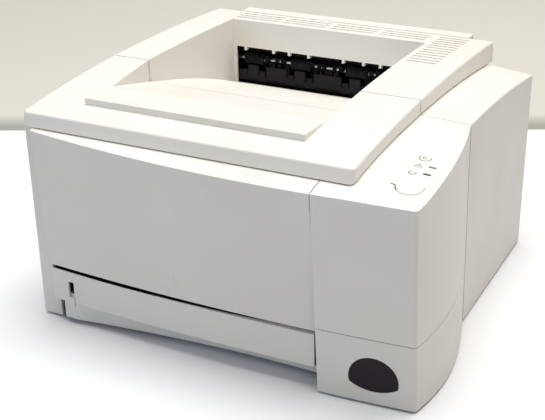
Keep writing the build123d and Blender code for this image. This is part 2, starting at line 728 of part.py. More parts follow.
def tray_door():
    """Bowed front panel that folds down as the hand-feed tray."""
    outer = tray_door_block(0) - COVERS_TOP
    inner = tray_door_block(WALL) - COVERS_TOP_INNER
    door = outer - inner
    for x in stations(DOOR_LEFT + 60, COLUMN_LEFT - 60, 4):
        rib = block(x - 1, x + 1, FRONT, STRIP - 5.5, DOOR_BOTTOM + 8, FACE_TOP - 6)
        door += rib & tray_door_block(WALL - 0.2)
    back = EXTENSION_BACK + SEAT
    half = EXTENSION_HALF + SEAT
    door -= block(PATH_X - half, PATH_X + half, back - EXTENSION_THICK - 2 * SEAT, back, LINER_TOP - 8, RAIL_CREST_Z)
    pin = (TRAY_PIN_Y, TRAY_PIN_Z)
    for near, far in tray_ear_places():
        x0, x1 = min(near, far), max(near, far)
        web = block(x0, x1, FRONT, TRAY_PIN_Y, TRAY_PIN_Z - EAR_R, TRAY_PIN_Z + EAR_R)
        door += (rod_x(pin, EAR_R, x0, x1) + web) & (tray_door_block(0) + block(x0, x1, TRAY_PIN_Y - 1, STRIP + 10, 0, 120))
        inner = near + (2 if near < PATH_X else -2)
        door -= rod_x(pin, EAR_R + 0.6, inner - 2, inner + 2)
        door -= block(inner - 2, inner + 2, TRAY_PIN_Y - EAR_R - SEAT, STRIP + 10, DOOR_BOTTOM - 1, TRAY_PIN_Z)
        door += rod_x(pin, TRAY_PIN_R, near + (2.4 if near < PATH_X else -2.4), far)
    return door


def tray_ear_places():
    """Near and far ends of the two hinge ears, just outside the side frames."""
    left = PATH_X - FRAME_HALF - PLATE - 0.4
    right = PATH_X + FRAME_HALF + PLATE + 0.4
    return ((left, left - EAR_WIDTH), (right, right + EAR_WIDTH))


def tray_liner():
    """Inner tray surface that faces up once the door is down."""
    x0, x1 = DOOR_LEFT + 8, COLUMN_LEFT - 10
    liner = block(x0, x1, STRIP - 1 - LINER_THICK, STRIP - 1, LINER_BOTTOM, LINER_TOP)
    liner += block(x0, x0 + LINER_THICK, STRIP - 9, STRIP - 1, LINER_BOTTOM, LINER_TOP)
    liner += block(x1 - LINER_THICK, x1, STRIP - 9, STRIP - 1, LINER_BOTTOM, LINER_TOP)
    for side in (-1, 1):
        a, b = sorted((PATH_X + side * (PAPER_HALF - SHEET_GUIDE_TRAVEL - 6), PATH_X + side * (PAPER_HALF - 2)))
        liner -= block(a, b, STRIP - 10, STRIP + 5, 128, 134)
    return liner & tray_door_block(WALL + 0.2)


def sheet_guide(side):
    """Sliding side guide of the hand-feed tray."""
    face = PATH_X + side * PAPER_HALF
    x0, x1 = sorted((face, face + side * 2))
    fence = block(x0, x1, STRIP - 0.7, STRIP + 11, LINER_BOTTOM + 8, LINER_BOTTOM + 62)
    a, b = sorted((face + side * 2, face - side * 22))
    foot = block(a, b, STRIP - 0.7, STRIP + 1.3, LINER_BOTTOM + 18, LINER_BOTTOM + 52)
    c, d = sorted((face - side * 4, face - side * 10))
    key = block(c, d, STRIP - 4.5, STRIP - 0.7, 128.4, 133.6)
    return fence + foot + key


def tray_extension():
    """Panel that slides out of the tray door to carry long sheets."""
    z0, z1 = LINER_BOTTOM + 54, LINER_TOP - 2
    back = EXTENSION_BACK
    panel = block(PATH_X - EXTENSION_HALF, PATH_X + EXTENSION_HALF, back - EXTENSION_THICK, back, z0, z1)
    for x in (PATH_X - 50, PATH_X, PATH_X + 50):
        panel -= block(x - 16, x + 16, back - 5, back + 5, z0 + 8, z1 - 10)
    return panel


def base_pan():
    """Pressed steel pan with turned-up sides."""
    x0, x1 = LEFT + WALL + SEAT, SIDE_X - SIDE_STEP - WALL - SEAT
    y0, y1 = STRIP + 26.0, PAN_REAR
    pan = block(x0, x1, y0, y1, PAN_Z, PAN_TOP)
    pan += block(x0, x0 + PAN_THICK, y0, y1, PAN_Z, PAN_Z + PAN_FLANGE)
    pan += block(x1 - PAN_THICK, x1, y0, y1, PAN_Z, PAN_Z + PAN_FLANGE)
    pan += block(x0, x1, y1 - PAN_THICK, y1, PAN_Z, PAN_Z + PAN_FLANGE)
    for x in stations(x0 + 60, x1 - 60, 4):
        slot = extrude(Pos(x, (y0 + y1) / 2, PAN_Z - 1) * SlotOverall(180, 14, rotation=90), amount=4)
        pan -= slot
    return pan


def rubber_feet():
    """Four round feet under the pan."""
    feet = []
    for x in (LEFT + 24, SIDE_X - 22):
        for y in (STRIP + 44, STRIP + 322):
            feet.append(Pos(x, y, 0) * Cone(FOOT_R - 1.5, FOOT_R, PAN_Z, align=(Align.CENTER, Align.CENTER, Align.MIN)))
    return Compound(children=feet)


def drum_slot():
    """Slanting way from the drum's seat up to the open top, for the cartridge."""
    top = (STRIP + 66, FRAME_TOP + 8)
    dy, dz = top[0] - DRUM[0], top[1] - DRUM[1]
    length = hypot(dy, dz)
    ny, nz = dz / length * (SHAFT_R + 0.4), -dy / length * (SHAFT_R + 0.4)
    return [(DRUM[0] - ny, DRUM[1] - nz), (DRUM[0] + ny, DRUM[1] + nz), (top[0] + ny, top[1] + nz), (top[0] - ny, top[1] - nz)]


def side_frame(x0):
    """Steel side plate with the shaft holes, the cartridge way and hinge arms."""
    x1 = x0 + PLATE
    arm_low, arm_high = TRAY_PIN_Z - EAR_R, TRAY_PIN_Z + EAR_R
    outline = [
        (FRAME_FRONT, PAN_TOP), (FRAME_REAR, PAN_TOP), (FRAME_REAR, 184), (STRIP + 262, FRAME_TOP),
        (STRIP + 52, FRAME_TOP), (FRAME_FRONT, 186), (FRAME_FRONT, arm_high), (TRAY_PIN_Y, arm_high), (TRAY_PIN_Y, arm_low),
        (FRAME_FRONT, arm_low),
    ]
    plate = side_poly(outline, x0, x1) + rod_x((TRAY_PIN_Y, TRAY_PIN_Z), EAR_R, x0, x1)
    plate -= rod_x((TRAY_PIN_Y, TRAY_PIN_Z), TRAY_PIN_R + RUN, x0 - 1, x1 + 1)
    plate -= side_poly(drum_slot(), x0 - 1, x1 + 1)
    plate -= rod_x(DRUM, SHAFT_R + 0.4, x0 - 1, x1 + 1)
    for place in (TRANSFER, FUSER, PRESS, EXIT, EXIT_IDLER, PICKUP, REGISTER, REGISTER_IDLER, HAND_FEED):
        plate -= rod_x(place, SHAFT_R + RUN, x0 - 1, x1 + 1)
    return plate


def left_frame():
    """Left side plate, its top edge turned inward, with the gear studs."""
    x1 = PATH_X - FRAME_HALF
    x0 = x1 - PLATE
    frame = side_frame(x0)
    frame += block(x0, x1 + FLANGE, STRIP + 180, STRIP + 255, FRAME_TOP - PLATE, FRAME_TOP)
    for stud in gear_studs():
        frame += stud
    return frame


def right_frame():
    """Right side plate, turned outward on top and into a shelf for the main board."""
    x0 = PATH_X + FRAME_HALF
    frame = side_frame(x0)
    frame += block(x0, x0 + PLATE + FLANGE, STRIP + 180, STRIP + 255, FRAME_TOP - PLATE, FRAME_TOP)
    shelf = block(x0, BOARD_X + 6, STRIP + 166, STRIP + 340, BOARD_Z - PLATE, BOARD_Z)
    return frame + shelf


def cross_sheet(y0, y1, z0, z1):
    """Plain sheet between the two side frames."""
    return block(PATH_X - FRAME_HALF, PATH_X + FRAME_HALF, y0, y1, z0, z1)


def front_beam():
    """Folded beam across the front of the frames."""
    y0, z1 = FRAME_FRONT, 186.0
    beam = cross_sheet(y0, y0 + PLATE, z1 - 24, z1)
    beam += cross_sheet(y0, y0 + 14, z1 - PLATE, z1)
    return beam + cross_sheet(y0, y0 + 14, z1 - 24, z1 - 24 + PLATE)


def scanner_plate():
    """Folded steel plate that carries the scanner."""
    y0, y1 = STRIP + 156, STRIP + 244
    plate = cross_sheet(y0, y1, SCANNER_Z - PLATE, SCANNER_Z)
    plate += cross_sheet(y1 - PLATE, y1, SCANNER_Z - 12, SCANNER_Z)
    for x in (PATH_X - 60, PATH_X + 60):
        plate -= extrude(Pos(x, (y0 + y1) / 2, SCANNER_Z - 20) * SlotOverall(60, 16), amount=40)
    return plate


def scanner_housing():
    """Open box of the laser scanner with its beam window."""
    y0, y1 = STRIP + 158, STRIP + 240
    z0, z1 = SCANNER_Z, SCANNER_Z + SCANNER_HEIGHT
    outer = plan_poly([(PATH_X - 104, y0), (PATH_X + 104, y0), (PATH_X + 70, y1), (PATH_X - 70, y1)], z0, z1)
    wall = TRAY_WALL
    inner = plan_poly(
        [(PATH_X - 100, y0 + wall), (PATH_X + 100, y0 + wall), (PATH_X + 67, y1 - wall), (PATH_X - 67, y1 - wall)], z0 + wall, z1 + 5
    )
    box = outer - inner
    box -= block(PATH_X - 96, PATH_X + 96, y0 - 1, y0 + wall + 1, z0 + 6, z0 + 13)
    return box + scanner_motor() + scan_lens()


def scanner_lid():
    """Flat lid of the scanner."""
    y0, y1 = STRIP + 158, STRIP + 240
    z0 = SCANNER_Z + SCANNER_HEIGHT
    lid = plan_poly([(PATH_X - 104, y0), (PATH_X + 104, y0), (PATH_X + 70, y1), (PATH_X - 70, y1)], z0, z0 + 2)
    return lid + block(PATH_X - 40, PATH_X + 40, y0 + 20, y1 - 20, z0 + 2, z0 + 3)


def polygon_mirror():
    """Six-sided mirror on the scanner's motor shaft."""
    x, y = PATH_X, STRIP + 214
    z0 = SCANNER_Z + 10
    mirror = extrude(Pos(x, y, z0) * RegularPolygon(14, 6), amount=5)
    return mirror + rod_z(x, y, 8, z0 - 3, z0 + 7)


def scanner_motor():
    """Flat board and bearing that the mirror turns on."""
    x, y = PATH_X, STRIP + 214
    board = block(x - 22, x + 22, y - 20, y + 20, SCANNER_Z + 1, SCANNER_Z + TRAY_WALL + 1.6)
    return board + rod_z(x, y, 6, SCANNER_Z + TRAY_WALL + 1.6, SCANNER_Z + 6.8)


def scan_lens():
    """Long curved lens in front of the mirror."""
    y = STRIP + 180
    front = ThreePointArc((PATH_X - 70, y), (PATH_X, y - 8), (PATH_X + 70, y))
    back = ThreePointArc((PATH_X + 70, y), (PATH_X, y + 6), (PATH_X - 70, y))
    face = make_face(front.edges() + back.edges())
    return extrude(Pos(0, 0, SCANNER_Z + 1) * face, amount=14)


def cassette_outline(z0, z1, inset, x0, x1):
    """Bowed block of the cassette's front between two heights."""
    front = bow(cassette_y, x0 + inset, x1 - inset, inset)
    back = TRAY_FRONT + (10 if inset else 0)
    corners = [(x1 - inset, back), (x0 + inset, back)]
    rest = Polyline((x1 - inset, cassette_y(x1 - inset) + inset), *corners, (x0 + inset, cassette_y(x0 + inset) + inset))
    face = make_face(front.edges() + rest.edges())
    return extrude(Pos(0, 0, z0) * face, amount=z1 - z0)


def cassette_front():
    """Bowed front of the cassette with the hand recess under its ledge."""
    x0, x1 = CASSETTE_LEFT, COLUMN_LEFT - SEAM - 4
    outer = cassette_outline(CASSETTE_BOTTOM, CASSETTE_TOP, 0, x0, x1)
    front = outer & slab(CASSETTE_LEDGE, CASSETTE_TOP + 5)
    front -= cassette_outline(CASSETTE_LEDGE - 5, CASSETTE_TOP - WALL, WALL, x0, x1)
    edges = front.edges().filter_by(lambda e: e.center().Z > CASSETTE_TOP - 0.1 and e.center().Y < cassette_y(x0) + 0.1)
    edges = edges.filter_by(lambda e: e.bounding_box().size.X > 100)
    front = fillet(edges, 1.2)
    low = x0 + 5.2
    lower = outer & block(low, x1 + 5, STRIP - 40, STRIP + 40, 0, CASSETTE_LEDGE + WALL)
    right = (x1 + 5, STRIP + SCOOP_DEPTH - 11.8)
    line = Spline((low - 5, STRIP - 9.6), (low + 72, STRIP), (low + 130, STRIP + 5), right)
    rest = Polyline(right, (x1 + 5, STRIP - 40), (low - 5, STRIP - 40), (low - 5, STRIP - 9.6))
    recess = extrude(make_face(line.edges() + rest.edges()), amount=CASSETTE_LEDGE)
    front += (lower - recess) & (Pos(0, WALL, 0) * recess + slab(CASSETTE_LEDGE, CASSETTE_TOP))
    slot = block(GAUGE_LEFT, GAUGE_LEFT + GAUGE_WIDTH, STRIP - 20, STRIP + 3, GAUGE_LOW, GAUGE_LOW + GAUGE_HEIGHT + GAUGE_TRAVEL)
    return front - slot


def paper_gauge():
    """Tab in the cassette's front slot that rises with the stack."""
    x0, x1 = GAUGE_LEFT + 0.4, GAUGE_LEFT + GAUGE_WIDTH - 0.4
    wall = cassette_y(x0) + WALL
    z0 = GAUGE_LOW + 0.3
    tab = block(x0, x1, wall - WALL - 1.2, wall + 2, z0, z0 + GAUGE_HEIGHT)
    return tab + block(x0 - 2, x1 + 2, wall + SEAT, wall + SEAT + 1.4, z0 - 1.5 + GAUGE_HEIGHT, z0 + GAUGE_HEIGHT + 3)


def cassette():
    """Paper tray: floor, side and rear walls, front wall with the feed ramp."""
    x0, x1 = PATH_X - TRAY_HALF, PATH_X + TRAY_HALF
    z0 = PAN_TOP + TRAY_GAP
    profile = [(TRAY_FRONT, z0), (TRAY_BACK, z0), (TRAY_BACK, TRAY_REAR_Z), (TRAY_BACK - 30, TRAY_SIDE_Z), (STRIP + 60, TRAY_SIDE_Z),
               (STRIP + 40, TRAY_FRONT_Z), (TRAY_FRONT, TRAY_FRONT_Z)]
    body = side_poly(profile, x0, x1)
    cavity = block(x0 + TRAY_WALL, x1 - TRAY_WALL, TRAY_FRONT + TRAY_WALL, TRAY_BACK - TRAY_WALL, z0 + TRAY_FLOOR, 80)
    body -= cavity
    body -= block(PATH_X - 100, PATH_X + 100, TRAY_FRONT - 1, TRAY_FRONT + 5, 46, 60)
    ramp = [(STRIP + 26, z0 + TRAY_FLOOR), (STRIP + 26, 34), (STRIP + 21, 44), (STRIP + 13, 50), (STRIP + 11, 50), (STRIP + 18, 42),
            (STRIP + 22, 33), (STRIP + 22, z0 + TRAY_FLOOR)]
    for x in stations(PATH_X - 96, PATH_X + 96, 9):
        rib = [(TRAY_FRONT + TRAY_WALL, z0 + TRAY_FLOOR), (STRIP + 23, z0 + TRAY_FLOOR), (STRIP + 23, 32), (TRAY_FRONT + TRAY_WALL, 44)]
        body += side_poly(rib, x - 0.8, x + 0.8)
    body += side_poly(ramp, PATH_X - 106, PATH_X + 106)
    deck = block(x0 + TRAY_WALL, x1 - TRAY_WALL, LIFT_PIVOT[0] + 8, TRAY_BACK - TRAY_WALL, z0 + TRAY_FLOOR, z0 + TRAY_FLOOR + 2)
    for side in (-1, 1):
        a, b = sorted((PATH_X + side * (PAPER_HALF - 42), PATH_X + side * PAPER_HALF))
        deck -= block(a, b, STRIP + 240, STRIP + 246, 0, 20)
        hook_x = PATH_X + side * (TRAY_HALF - TRAY_WALL)
        c, d = sorted((hook_x, hook_x - side * 5))
        hook = block(c, d, LIFT_PIVOT[0] - 5, LIFT_PIVOT[0] + 5, z0 + TRAY_FLOOR, LIFT_PIVOT[1] + 4)
        body += hook - rod_x(LIFT_PIVOT, 2 + RUN, c - 1, d + 1)
    return body + deck


def lift_plate():
    """Hinged plate that lifts the front of the stack to the pickup roller."""
    y0, z0 = LIFT_PIVOT
    slope = atan2(LIFT_FRONT_Z - z0, y0 - LIFT_FRONT)
    length = hypot(LIFT_FRONT_Z - z0, y0 - LIFT_FRONT)
    plate = block(PATH_X - LIFT_HALF, PATH_X + LIFT_HALF, y0 - length, y0, z0 - LIFT_THICK / 2, z0 + LIFT_THICK / 2)
    plate -= block(PATH_X - 30, PATH_X + 30, y0 - length - 1, y0 - length + 6, 0, 30)
    for x in (PATH_X - 62, PATH_X + 62):
        plate -= extrude(Pos(x, y0 - length * 0.4, 0) * SlotOverall(70, 22, rotation=90), amount=40)
    plate += rod_x((y0, z0), 2, PATH_X - TRAY_HALF + TRAY_WALL + 0.4, PATH_X + TRAY_HALF - TRAY_WALL - 0.4)
    turned = Pos(0, y0, z0) * Rot(-degrees(slope), 0, 0) * Pos(0, -y0, -z0) * plate
    return turned


def side_guide(side):
    """Sliding side guide of the cassette."""
    face = PATH_X + side * PAPER_HALF
    z0 = PAN_TOP + TRAY_GAP + TRAY_FLOOR + 2
    x0, x1 = sorted((face, face + side * 2))
    fence = block(x0, x1, STRIP + 204, STRIP + 286, z0 + SEAT, 38)
    a, b = sorted((face + side * 2, face - side * 16))
    foot = block(a, b, STRIP + 228, STRIP + 258, z0 + SEAT, z0 + 2)
    c, d = sorted((face - side * 2, face - side * 9))
    key = block(c, d, STRIP + 240.4, STRIP + 245.6, z0 - 1.8, z0 + SEAT)
    return fence + foot + key


def rear_stop():
    """Sliding stop behind the stack."""
    z0 = PAN_TOP + TRAY_GAP + TRAY_FLOOR + 2 + SEAT
    stop = block(PATH_X - 24, PATH_X + 24, STRIP + 300, STRIP + 302, z0, 36)
    foot = block(PATH_X - 24, PATH_X + 24, STRIP + 300, STRIP + 324, z0, z0 + 2)
    for x in (PATH_X - 22, PATH_X + 20):
        stop += side_poly([(STRIP + 301, z0), (STRIP + 322, z0), (STRIP + 301, 34)], x, x + 2)
    return stop + foot


def separation_pad():
    """Sprung friction pad under the pickup roller."""
    y0, y1 = STRIP + 28.5, STRIP + 41
    base = block(PATH_X - 17, PATH_X + 17, y0, y1, PAN_TOP + TRAY_GAP + TRAY_FLOOR, 41)
    return base + block(PATH_X - 15, PATH_X + 15, y0 + 2, y1 - 0.5, 41, PICKUP[1] - PICKUP_R - NIP)


def cassette_rails():
    """Two runners that keep the cassette straight."""
    rails = []
    for side in (-1, 1):
        a, b = sorted((PATH_X + side * (TRAY_HALF + SEAT), PATH_X + side * FRAME_HALF))
        rails.append(block(a, b, STRIP + 30, STRIP + 330, PAN_TOP, 18))
    return Compound(children=rails)


def roller(place, radius, half, ends=0.0):
    """Roller with its shaft running in both side frames."""
    left = PATH_X - FRAME_HALF - PLATE - ends
    right = PATH_X + FRAME_HALF + PLATE + 2
    return rod_x(place, radius, PATH_X - half, PATH_X + half) + rod_x(place, SHAFT_R, left, right)


def pickup_roller():
    """D-shaped pickup roller: its flat rides clear of the stack between sheets."""
    tyre = rod_x(PICKUP, PICKUP_R, PATH_X - PICKUP_HALF, PATH_X + PICKUP_HALF)
    flat = block(PATH_X - 40, PATH_X + 40, PICKUP[0] + PICKUP_R * 0.62, PICKUP[0] + 30, 30, 90)
    shaft = roller(PICKUP, 5, PICKUP_HALF + 6, 2)
    return (tyre - flat) + shaft


def hand_feed_roller():
    """Small roller that takes sheets from the hand-feed tray."""
    return roller(HAND_FEED, HAND_FEED_R, 16, 2)


def register_roller():
    """Driven registration roller with four tyres."""
    shaft = roller(REGISTER, SHAFT_R + 1, ROLL_HALF, 2)
    for place in (-84, -28, 28, 84):
        shaft += rod_x(REGISTER, REGISTER_R, PATH_X + place - 16, PATH_X + place + 16)
    return shaft


def register_idler():
    """Free roller over the registration roller."""
    return roller(REGISTER_IDLER, REGISTER_IDLER_R, ROLL_HALF, 2)


def turn_guide():
    """Curved guide that turns the sheet round the pickup roller."""
    centre = PICKUP
    outer, inner = PICKUP_R + 6.2, PICKUP_R + 4.4
    ring = rod_x(centre, outer, PATH_X - FRAME_HALF, PATH_X + FRAME_HALF) - rod_x(centre, inner, PATH_X - 200, PATH_X + 200)
    keep = block(PATH_X - 200, PATH_X + 200, STRIP, centre[0], CASSETTE_TOP + 1.5, 120)
    guide = ring & keep
    y1, z = centre[0], centre[1] + outer
    floor = block(PATH_X - FRAME_HALF, PATH_X + FRAME_HALF, y1, REGISTER[0] - 12, z - 1.8, z)
    for x in stations(PATH_X - 100, PATH_X + 100, 7):
        rib = block(x - 0.8, x + 0.8, STRIP + 24.6, REGISTER[0] - 14, z, z + 2.0)
        floor += rib
    return guide + floor


def feed_guide():
    """Lower guide from the registration rollers to the fuser."""
    z = TRANSFER[1] + TRANSFER_R - 1.5
    front = cross_sheet(REGISTER[0] + 10, DRUM[0] - TRANSFER_R - 4, z - 6, z - 4.4)
    rear = cross_sheet(DRUM[0] + TRANSFER_R + 4, FUSER[0] - 24, z - 2, z - 0.4)
    bridge = cross_sheet(REGISTER[0] + 10, FUSER[0] - 24, z - 22, z - 20.4)
    for y in (REGISTER[0] + 10, DRUM[0] - TRANSFER_R - 5.6):
        bridge += cross_sheet(y, y + 1.6, z - 22, z - 4.4)
    for y in (DRUM[0] + TRANSFER_R + 4, FUSER[0] - 25.6):
        bridge += cross_sheet(y, y + 1.6, z - 22, z - 0.4)
    for x in stations(PATH_X - 100, PATH_X + 100, 9):
        rear += block(x - 0.7, x + 0.7, DRUM[0] + TRANSFER_R + 6, FUSER[0] - 25, z - 0.4, z + 0.9)
    return front + rear + bridge


def toner_cartridge():
    """Toner hopper in front, drum housing behind, open below along the drum."""
    outline = [
        (STRIP + 44, 130), (STRIP + 44, 176), (STRIP + 50, 182), (STRIP + 90, 186), (STRIP + 104, 174), (STRIP + 114, 150),
        (STRIP + 146, 136), (STRIP + 152, 128), (STRIP + 149, 104), (STRIP + 144, 98), (STRIP + 112, 98), (STRIP + 102, 108),
        (STRIP + 60, 118),
    ]
    half = FRAME_HALF - SEAT
    body = side_poly(outline, PATH_X - half, PATH_X + half)
    body -= rod_x(DRUM, DRUM_R + 0.6, PATH_X - ROLL_HALF - 1, PATH_X + ROLL_HALF + 1)
    body -= rod_x(DRUM, SHAFT_R + RUN, PATH_X - 200, PATH_X + 200)
    beam = [(DRUM[0] + 6, DRUM[1] + 14), (DRUM[0] + 10, DRUM[1] + 10), (STRIP + 160, 124), (STRIP + 160, 128.5)]
    body -= side_poly(beam, PATH_X - ROLL_HALF + 2, PATH_X + ROLL_HALF - 2)
    grip = rod_x((STRIP + 68, 190), 9, PATH_X - 50, PATH_X + 50)
    return body - grip


def drum():
    """Photosensitive drum on its shaft."""
    left = PATH_X - FRAME_HALF - PLATE - GEAR_STAND - GEAR_WIDTH
    right = PATH_X + FRAME_HALF + PLATE + 1.5
    return rod_x(DRUM, DRUM_R, PATH_X - ROLL_HALF, PATH_X + ROLL_HALF) + rod_x(DRUM, SHAFT_R, left, right)


def transfer_roller():
    """Foam roller under the drum."""
    return roller(TRANSFER, TRANSFER_R, ROLL_HALF - 4, 2)


def fuser_frame():
    """Fuser housing: end walls with bearings, hoods over and under the rollers."""
    y0, y1 = FUSER[0] - 21, FUSER[0] + 21
    low, high = PRESS[1] - PRESS_R - 5, FUSER[1] + FUSER_R + 8
    nip = FUSER[1] - FUSER_R
    x0, x1 = PATH_X - FRAME_HALF + 0.2, PATH_X + FRAME_HALF - 0.2
    outline = [(y0, low), (y1, low), (y1, high - 8), (y1 - 8, high), (y0 + 8, high), (y0, high - 8)]
    body = side_poly(outline, x0, x1)
    inner = [(y0 + 2, low + 2), (y1 - 2, low + 2), (y1 - 2, high - 9), (y1 - 9, high - 2), (y0 + 9, high - 2), (y0 + 2, high - 9)]
    body -= side_poly(inner, x0 + 5, x1 - 5)
    body -= block(PATH_X - ROLL_HALF, PATH_X + ROLL_HALF, y0 - 5, y1 + 5, nip - 4, nip + 4)
    for place in (FUSER, PRESS):
        body -= rod_x(place, SHAFT_R + RUN, x0 - 5, x1 + 5)
    return body


def fuser_roller():
    """Heated roller, driven by the gear outside the left frame."""
    return roller(FUSER, FUSER_R, ROLL_HALF, GEAR_STAND + GEAR_WIDTH)


def pressure_roller():
    """Soft roller pressed up against the heated roller."""
    return roller(PRESS, PRESS_R, ROLL_HALF - 2, 2)


def exit_shaft():
    """Bright shaft of the output rollers."""
    left = PATH_X - FRAME_HALF - PLATE - GEAR_STAND - GEAR_WIDTH
    return rod_x(EXIT, SHAFT_R, left, PATH_X + FRAME_HALF + PLATE + 2)


def exit_rollers():
    """Four black output rollers with grooves round them."""
    rollers = []
    for side in (-1, 1):
        for place in EXIT_PLACES:
            x = PATH_X + side * place
            tyre = rod_x(EXIT, EXIT_R, x - EXIT_WIDTH / 2, x + EXIT_WIDTH / 2)
            tyre -= rod_x(EXIT, SHAFT_R + RUN / 2, x - EXIT_WIDTH, x + EXIT_WIDTH)
            for step in (-4, 4):
                ring = rod_x(EXIT, EXIT_R + 1, x + step - 1, x + step + 1) - rod_x(EXIT, EXIT_R - 1.4, x + step - 2, x + step + 2)
                tyre -= ring
            rollers.append(tyre)
    return Compound(children=rollers)


def exit_idlers():
    """Small free rollers over the output rollers on one wire shaft."""
    shaft = rod_x(EXIT_IDLER, SHAFT_R, PATH_X - FRAME_HALF - PLATE - 2, PATH_X - FRAME_HALF + 3)
    shaft += rod_x(EXIT_IDLER, 1.5, PATH_X - FRAME_HALF + 2, PATH_X + FRAME_HALF - 2)
    shaft += rod_x(EXIT_IDLER, SHAFT_R, PATH_X + FRAME_HALF - 3, PATH_X + FRAME_HALF + PLATE + 2)
    for side in (-1, 1):
        for place in EXIT_PLACES:
            x = PATH_X + side * place
            shaft += rod_x(EXIT_IDLER, IDLER_R, x - 8, x + 8)
    return shaft


def delivery_guide():
    """Inner guide from the fuser up behind the output rollers, and their comb."""
    back = EXIT[0] + EXIT_R - 1
    centre = (back - 34.0, FUSER[1] + 30)
    ring = rod_x(centre, 34.0, PATH_X - FRAME_HALF, PATH_X + FRAME_HALF) - rod_x(centre, 32.0, PATH_X - 200, PATH_X + 200)
    guide = ring & block(PATH_X - 200, PATH_X + 200, centre[0], centre[0] + 50, centre[1] - 50, centre[1])
    low = BIN_BACK_Z + 4
    front = BIN_BACK + WALL + 0.6
    guide += cross_sheet(back - 2, back, centre[1] - 0.5, low + 2)
    guide += cross_sheet(front, back, low, low + 2)
    guide += cross_sheet(front, front + 2, low, EXIT[1] - EXIT_R - 1)
    for x in stations(PATH_X - 108, PATH_X + 108, 19):
        clear = [abs(abs(x - PATH_X) - place) > EXIT_WIDTH / 2 + 2.5 for place in EXIT_PLACES]
        height = EXIT[1] - SHAFT_R - 1.2 if all(clear) else EXIT[1] - EXIT_R - 1
        guide += block(x - 2, x + 2, front, front + 5, low + 1, height)
    return guide


def rear_line(shift):
    """Slanted back plane of the covers, moved back by shift."""
    high = between(SIDE_REAR_BOTTOM, SIDE_REAR_TOP, REAR_COVER_TOP, COVER_BOTTOM, EDGE_REAR_Z)
    return [(SIDE_REAR_BOTTOM + shift, COVER_BOTTOM), (high + shift, REAR_COVER_TOP)]


def rear_cover():
    """Back panel with the opening of the rear door and a ledge under the lid."""
    x0, x1 = LEFT + 27 + SEAM, LID_RIGHT - 22 - SEAM
    inner, outer = rear_line(-WALL), rear_line(0)
    panel = side_poly([inner[0], outer[0], outer[1], inner[1]], x0, x1)
    panel += block(x0, x1, outer[1][0] - WALL, LID_REAR - 1.5, REAR_COVER_TOP - WALL, REAR_COVER_TOP)
    low, high = REAR_DOOR_LOW - 2 * SEAM, REAR_DOOR_TOP + SEAM
    panel -= block(REAR_DOOR_LEFT - SEAM, REAR_DOOR_RIGHT + SEAM, STRIP + 330, STRIP + 370, low, high)
    for x in (REAR_DOOR_LEFT - SEAM - 4, REAR_DOOR_RIGHT + SEAM):
        ear = block(x, x + 4, REAR_PIN[0] - 5, REAR_PIN[0] + 1, REAR_PIN[1] - 5, REAR_PIN[1] + 5)
        panel += ear
        panel -= rod_x(REAR_PIN, TRAY_PIN_R + RUN, x - 1, x + 5)
    return panel


def rear_door():
    """Door that lets sheets out straight at the back."""
    inner, outer = rear_line(-WALL), rear_line(0)
    slab_ = side_poly([inner[0], outer[0], outer[1], inner[1]], REAR_DOOR_LEFT, REAR_DOOR_RIGHT)
    door = slab_ & block(LEFT, RIGHT, STRIP + 300, STRIP + 400, REAR_DOOR_LOW, REAR_DOOR_TOP)
    for x in stations(REAR_DOOR_LEFT + 14, REAR_DOOR_RIGHT - 14, 7):
        rib = side_poly([(SIDE_REAR_BOTTOM, 78), (SIDE_REAR_BOTTOM, 160), (STRIP + 344, 156), (STRIP + 344, 100)], x - 0.8, x + 0.8)
        door += rib - side_poly([outer[0], outer[1], (STRIP + 400, 190), (STRIP + 400, 0)], x - 2, x + 2)
    door += rod_x(REAR_PIN, 4, REAR_DOOR_LEFT, REAR_DOOR_LEFT + 10) + rod_x(REAR_PIN, 4, REAR_DOOR_RIGHT - 10, REAR_DOOR_RIGHT)
    door += rod_x(REAR_PIN, TRAY_PIN_R, REAR_DOOR_LEFT - SEAM - 3.6, REAR_DOOR_LEFT + 1)
    door += rod_x(REAR_PIN, TRAY_PIN_R, REAR_DOOR_RIGHT - 1, REAR_DOOR_RIGHT + SEAM + 3.6)
    grip = block(PATH_X - 30, PATH_X + 30, STRIP + 330, STRIP + 370, REAR_DOOR_TOP - 5, REAR_DOOR_TOP + 5)
    return door - grip


def mesh_place(a, radius_a, b, radius_b, side):
    """Point at two given distances from a and b, to one side of the line."""
    dy, dz = b[0] - a[0], b[1] - a[1]
    gap = hypot(dy, dz)
    along = (radius_a ** 2 - radius_b ** 2 + gap ** 2) / (2 * gap)
    off = side * (radius_a ** 2 - along ** 2) ** 0.5
    return (a[0] + (dy * along - dz * off) / gap, a[1] + (dz * along + dy * off) / gap)


def centres(teeth_a, teeth_b):
    """Distance between the shafts of two gears."""
    return MODULE * (teeth_a + teeth_b) / 2 + MESH_GAP


def meshed_phase(a, teeth_a, phase_a, b, teeth_b):
    """Turn of gear b that puts a gap where a tooth of gear a comes."""
    angle = atan2(b[1] - a[1], b[0] - a[0])
    return angle + pi + (angle - phase_a) * teeth_a / teeth_b + pi / teeth_b


def tooth_half(teeth, radius):
    """Half angle of an involute tooth at a radius, less the backlash."""
    pitch = MODULE * teeth / 2
    base = pitch * cos(PRESSURE_ANGLE)
    slope = acos(min(base / radius, 1.0))
    involute = tan(PRESSURE_ANGLE) - PRESSURE_ANGLE - (tan(slope) - slope)
    return pi / (2 * teeth) + involute - BACKLASH / radius


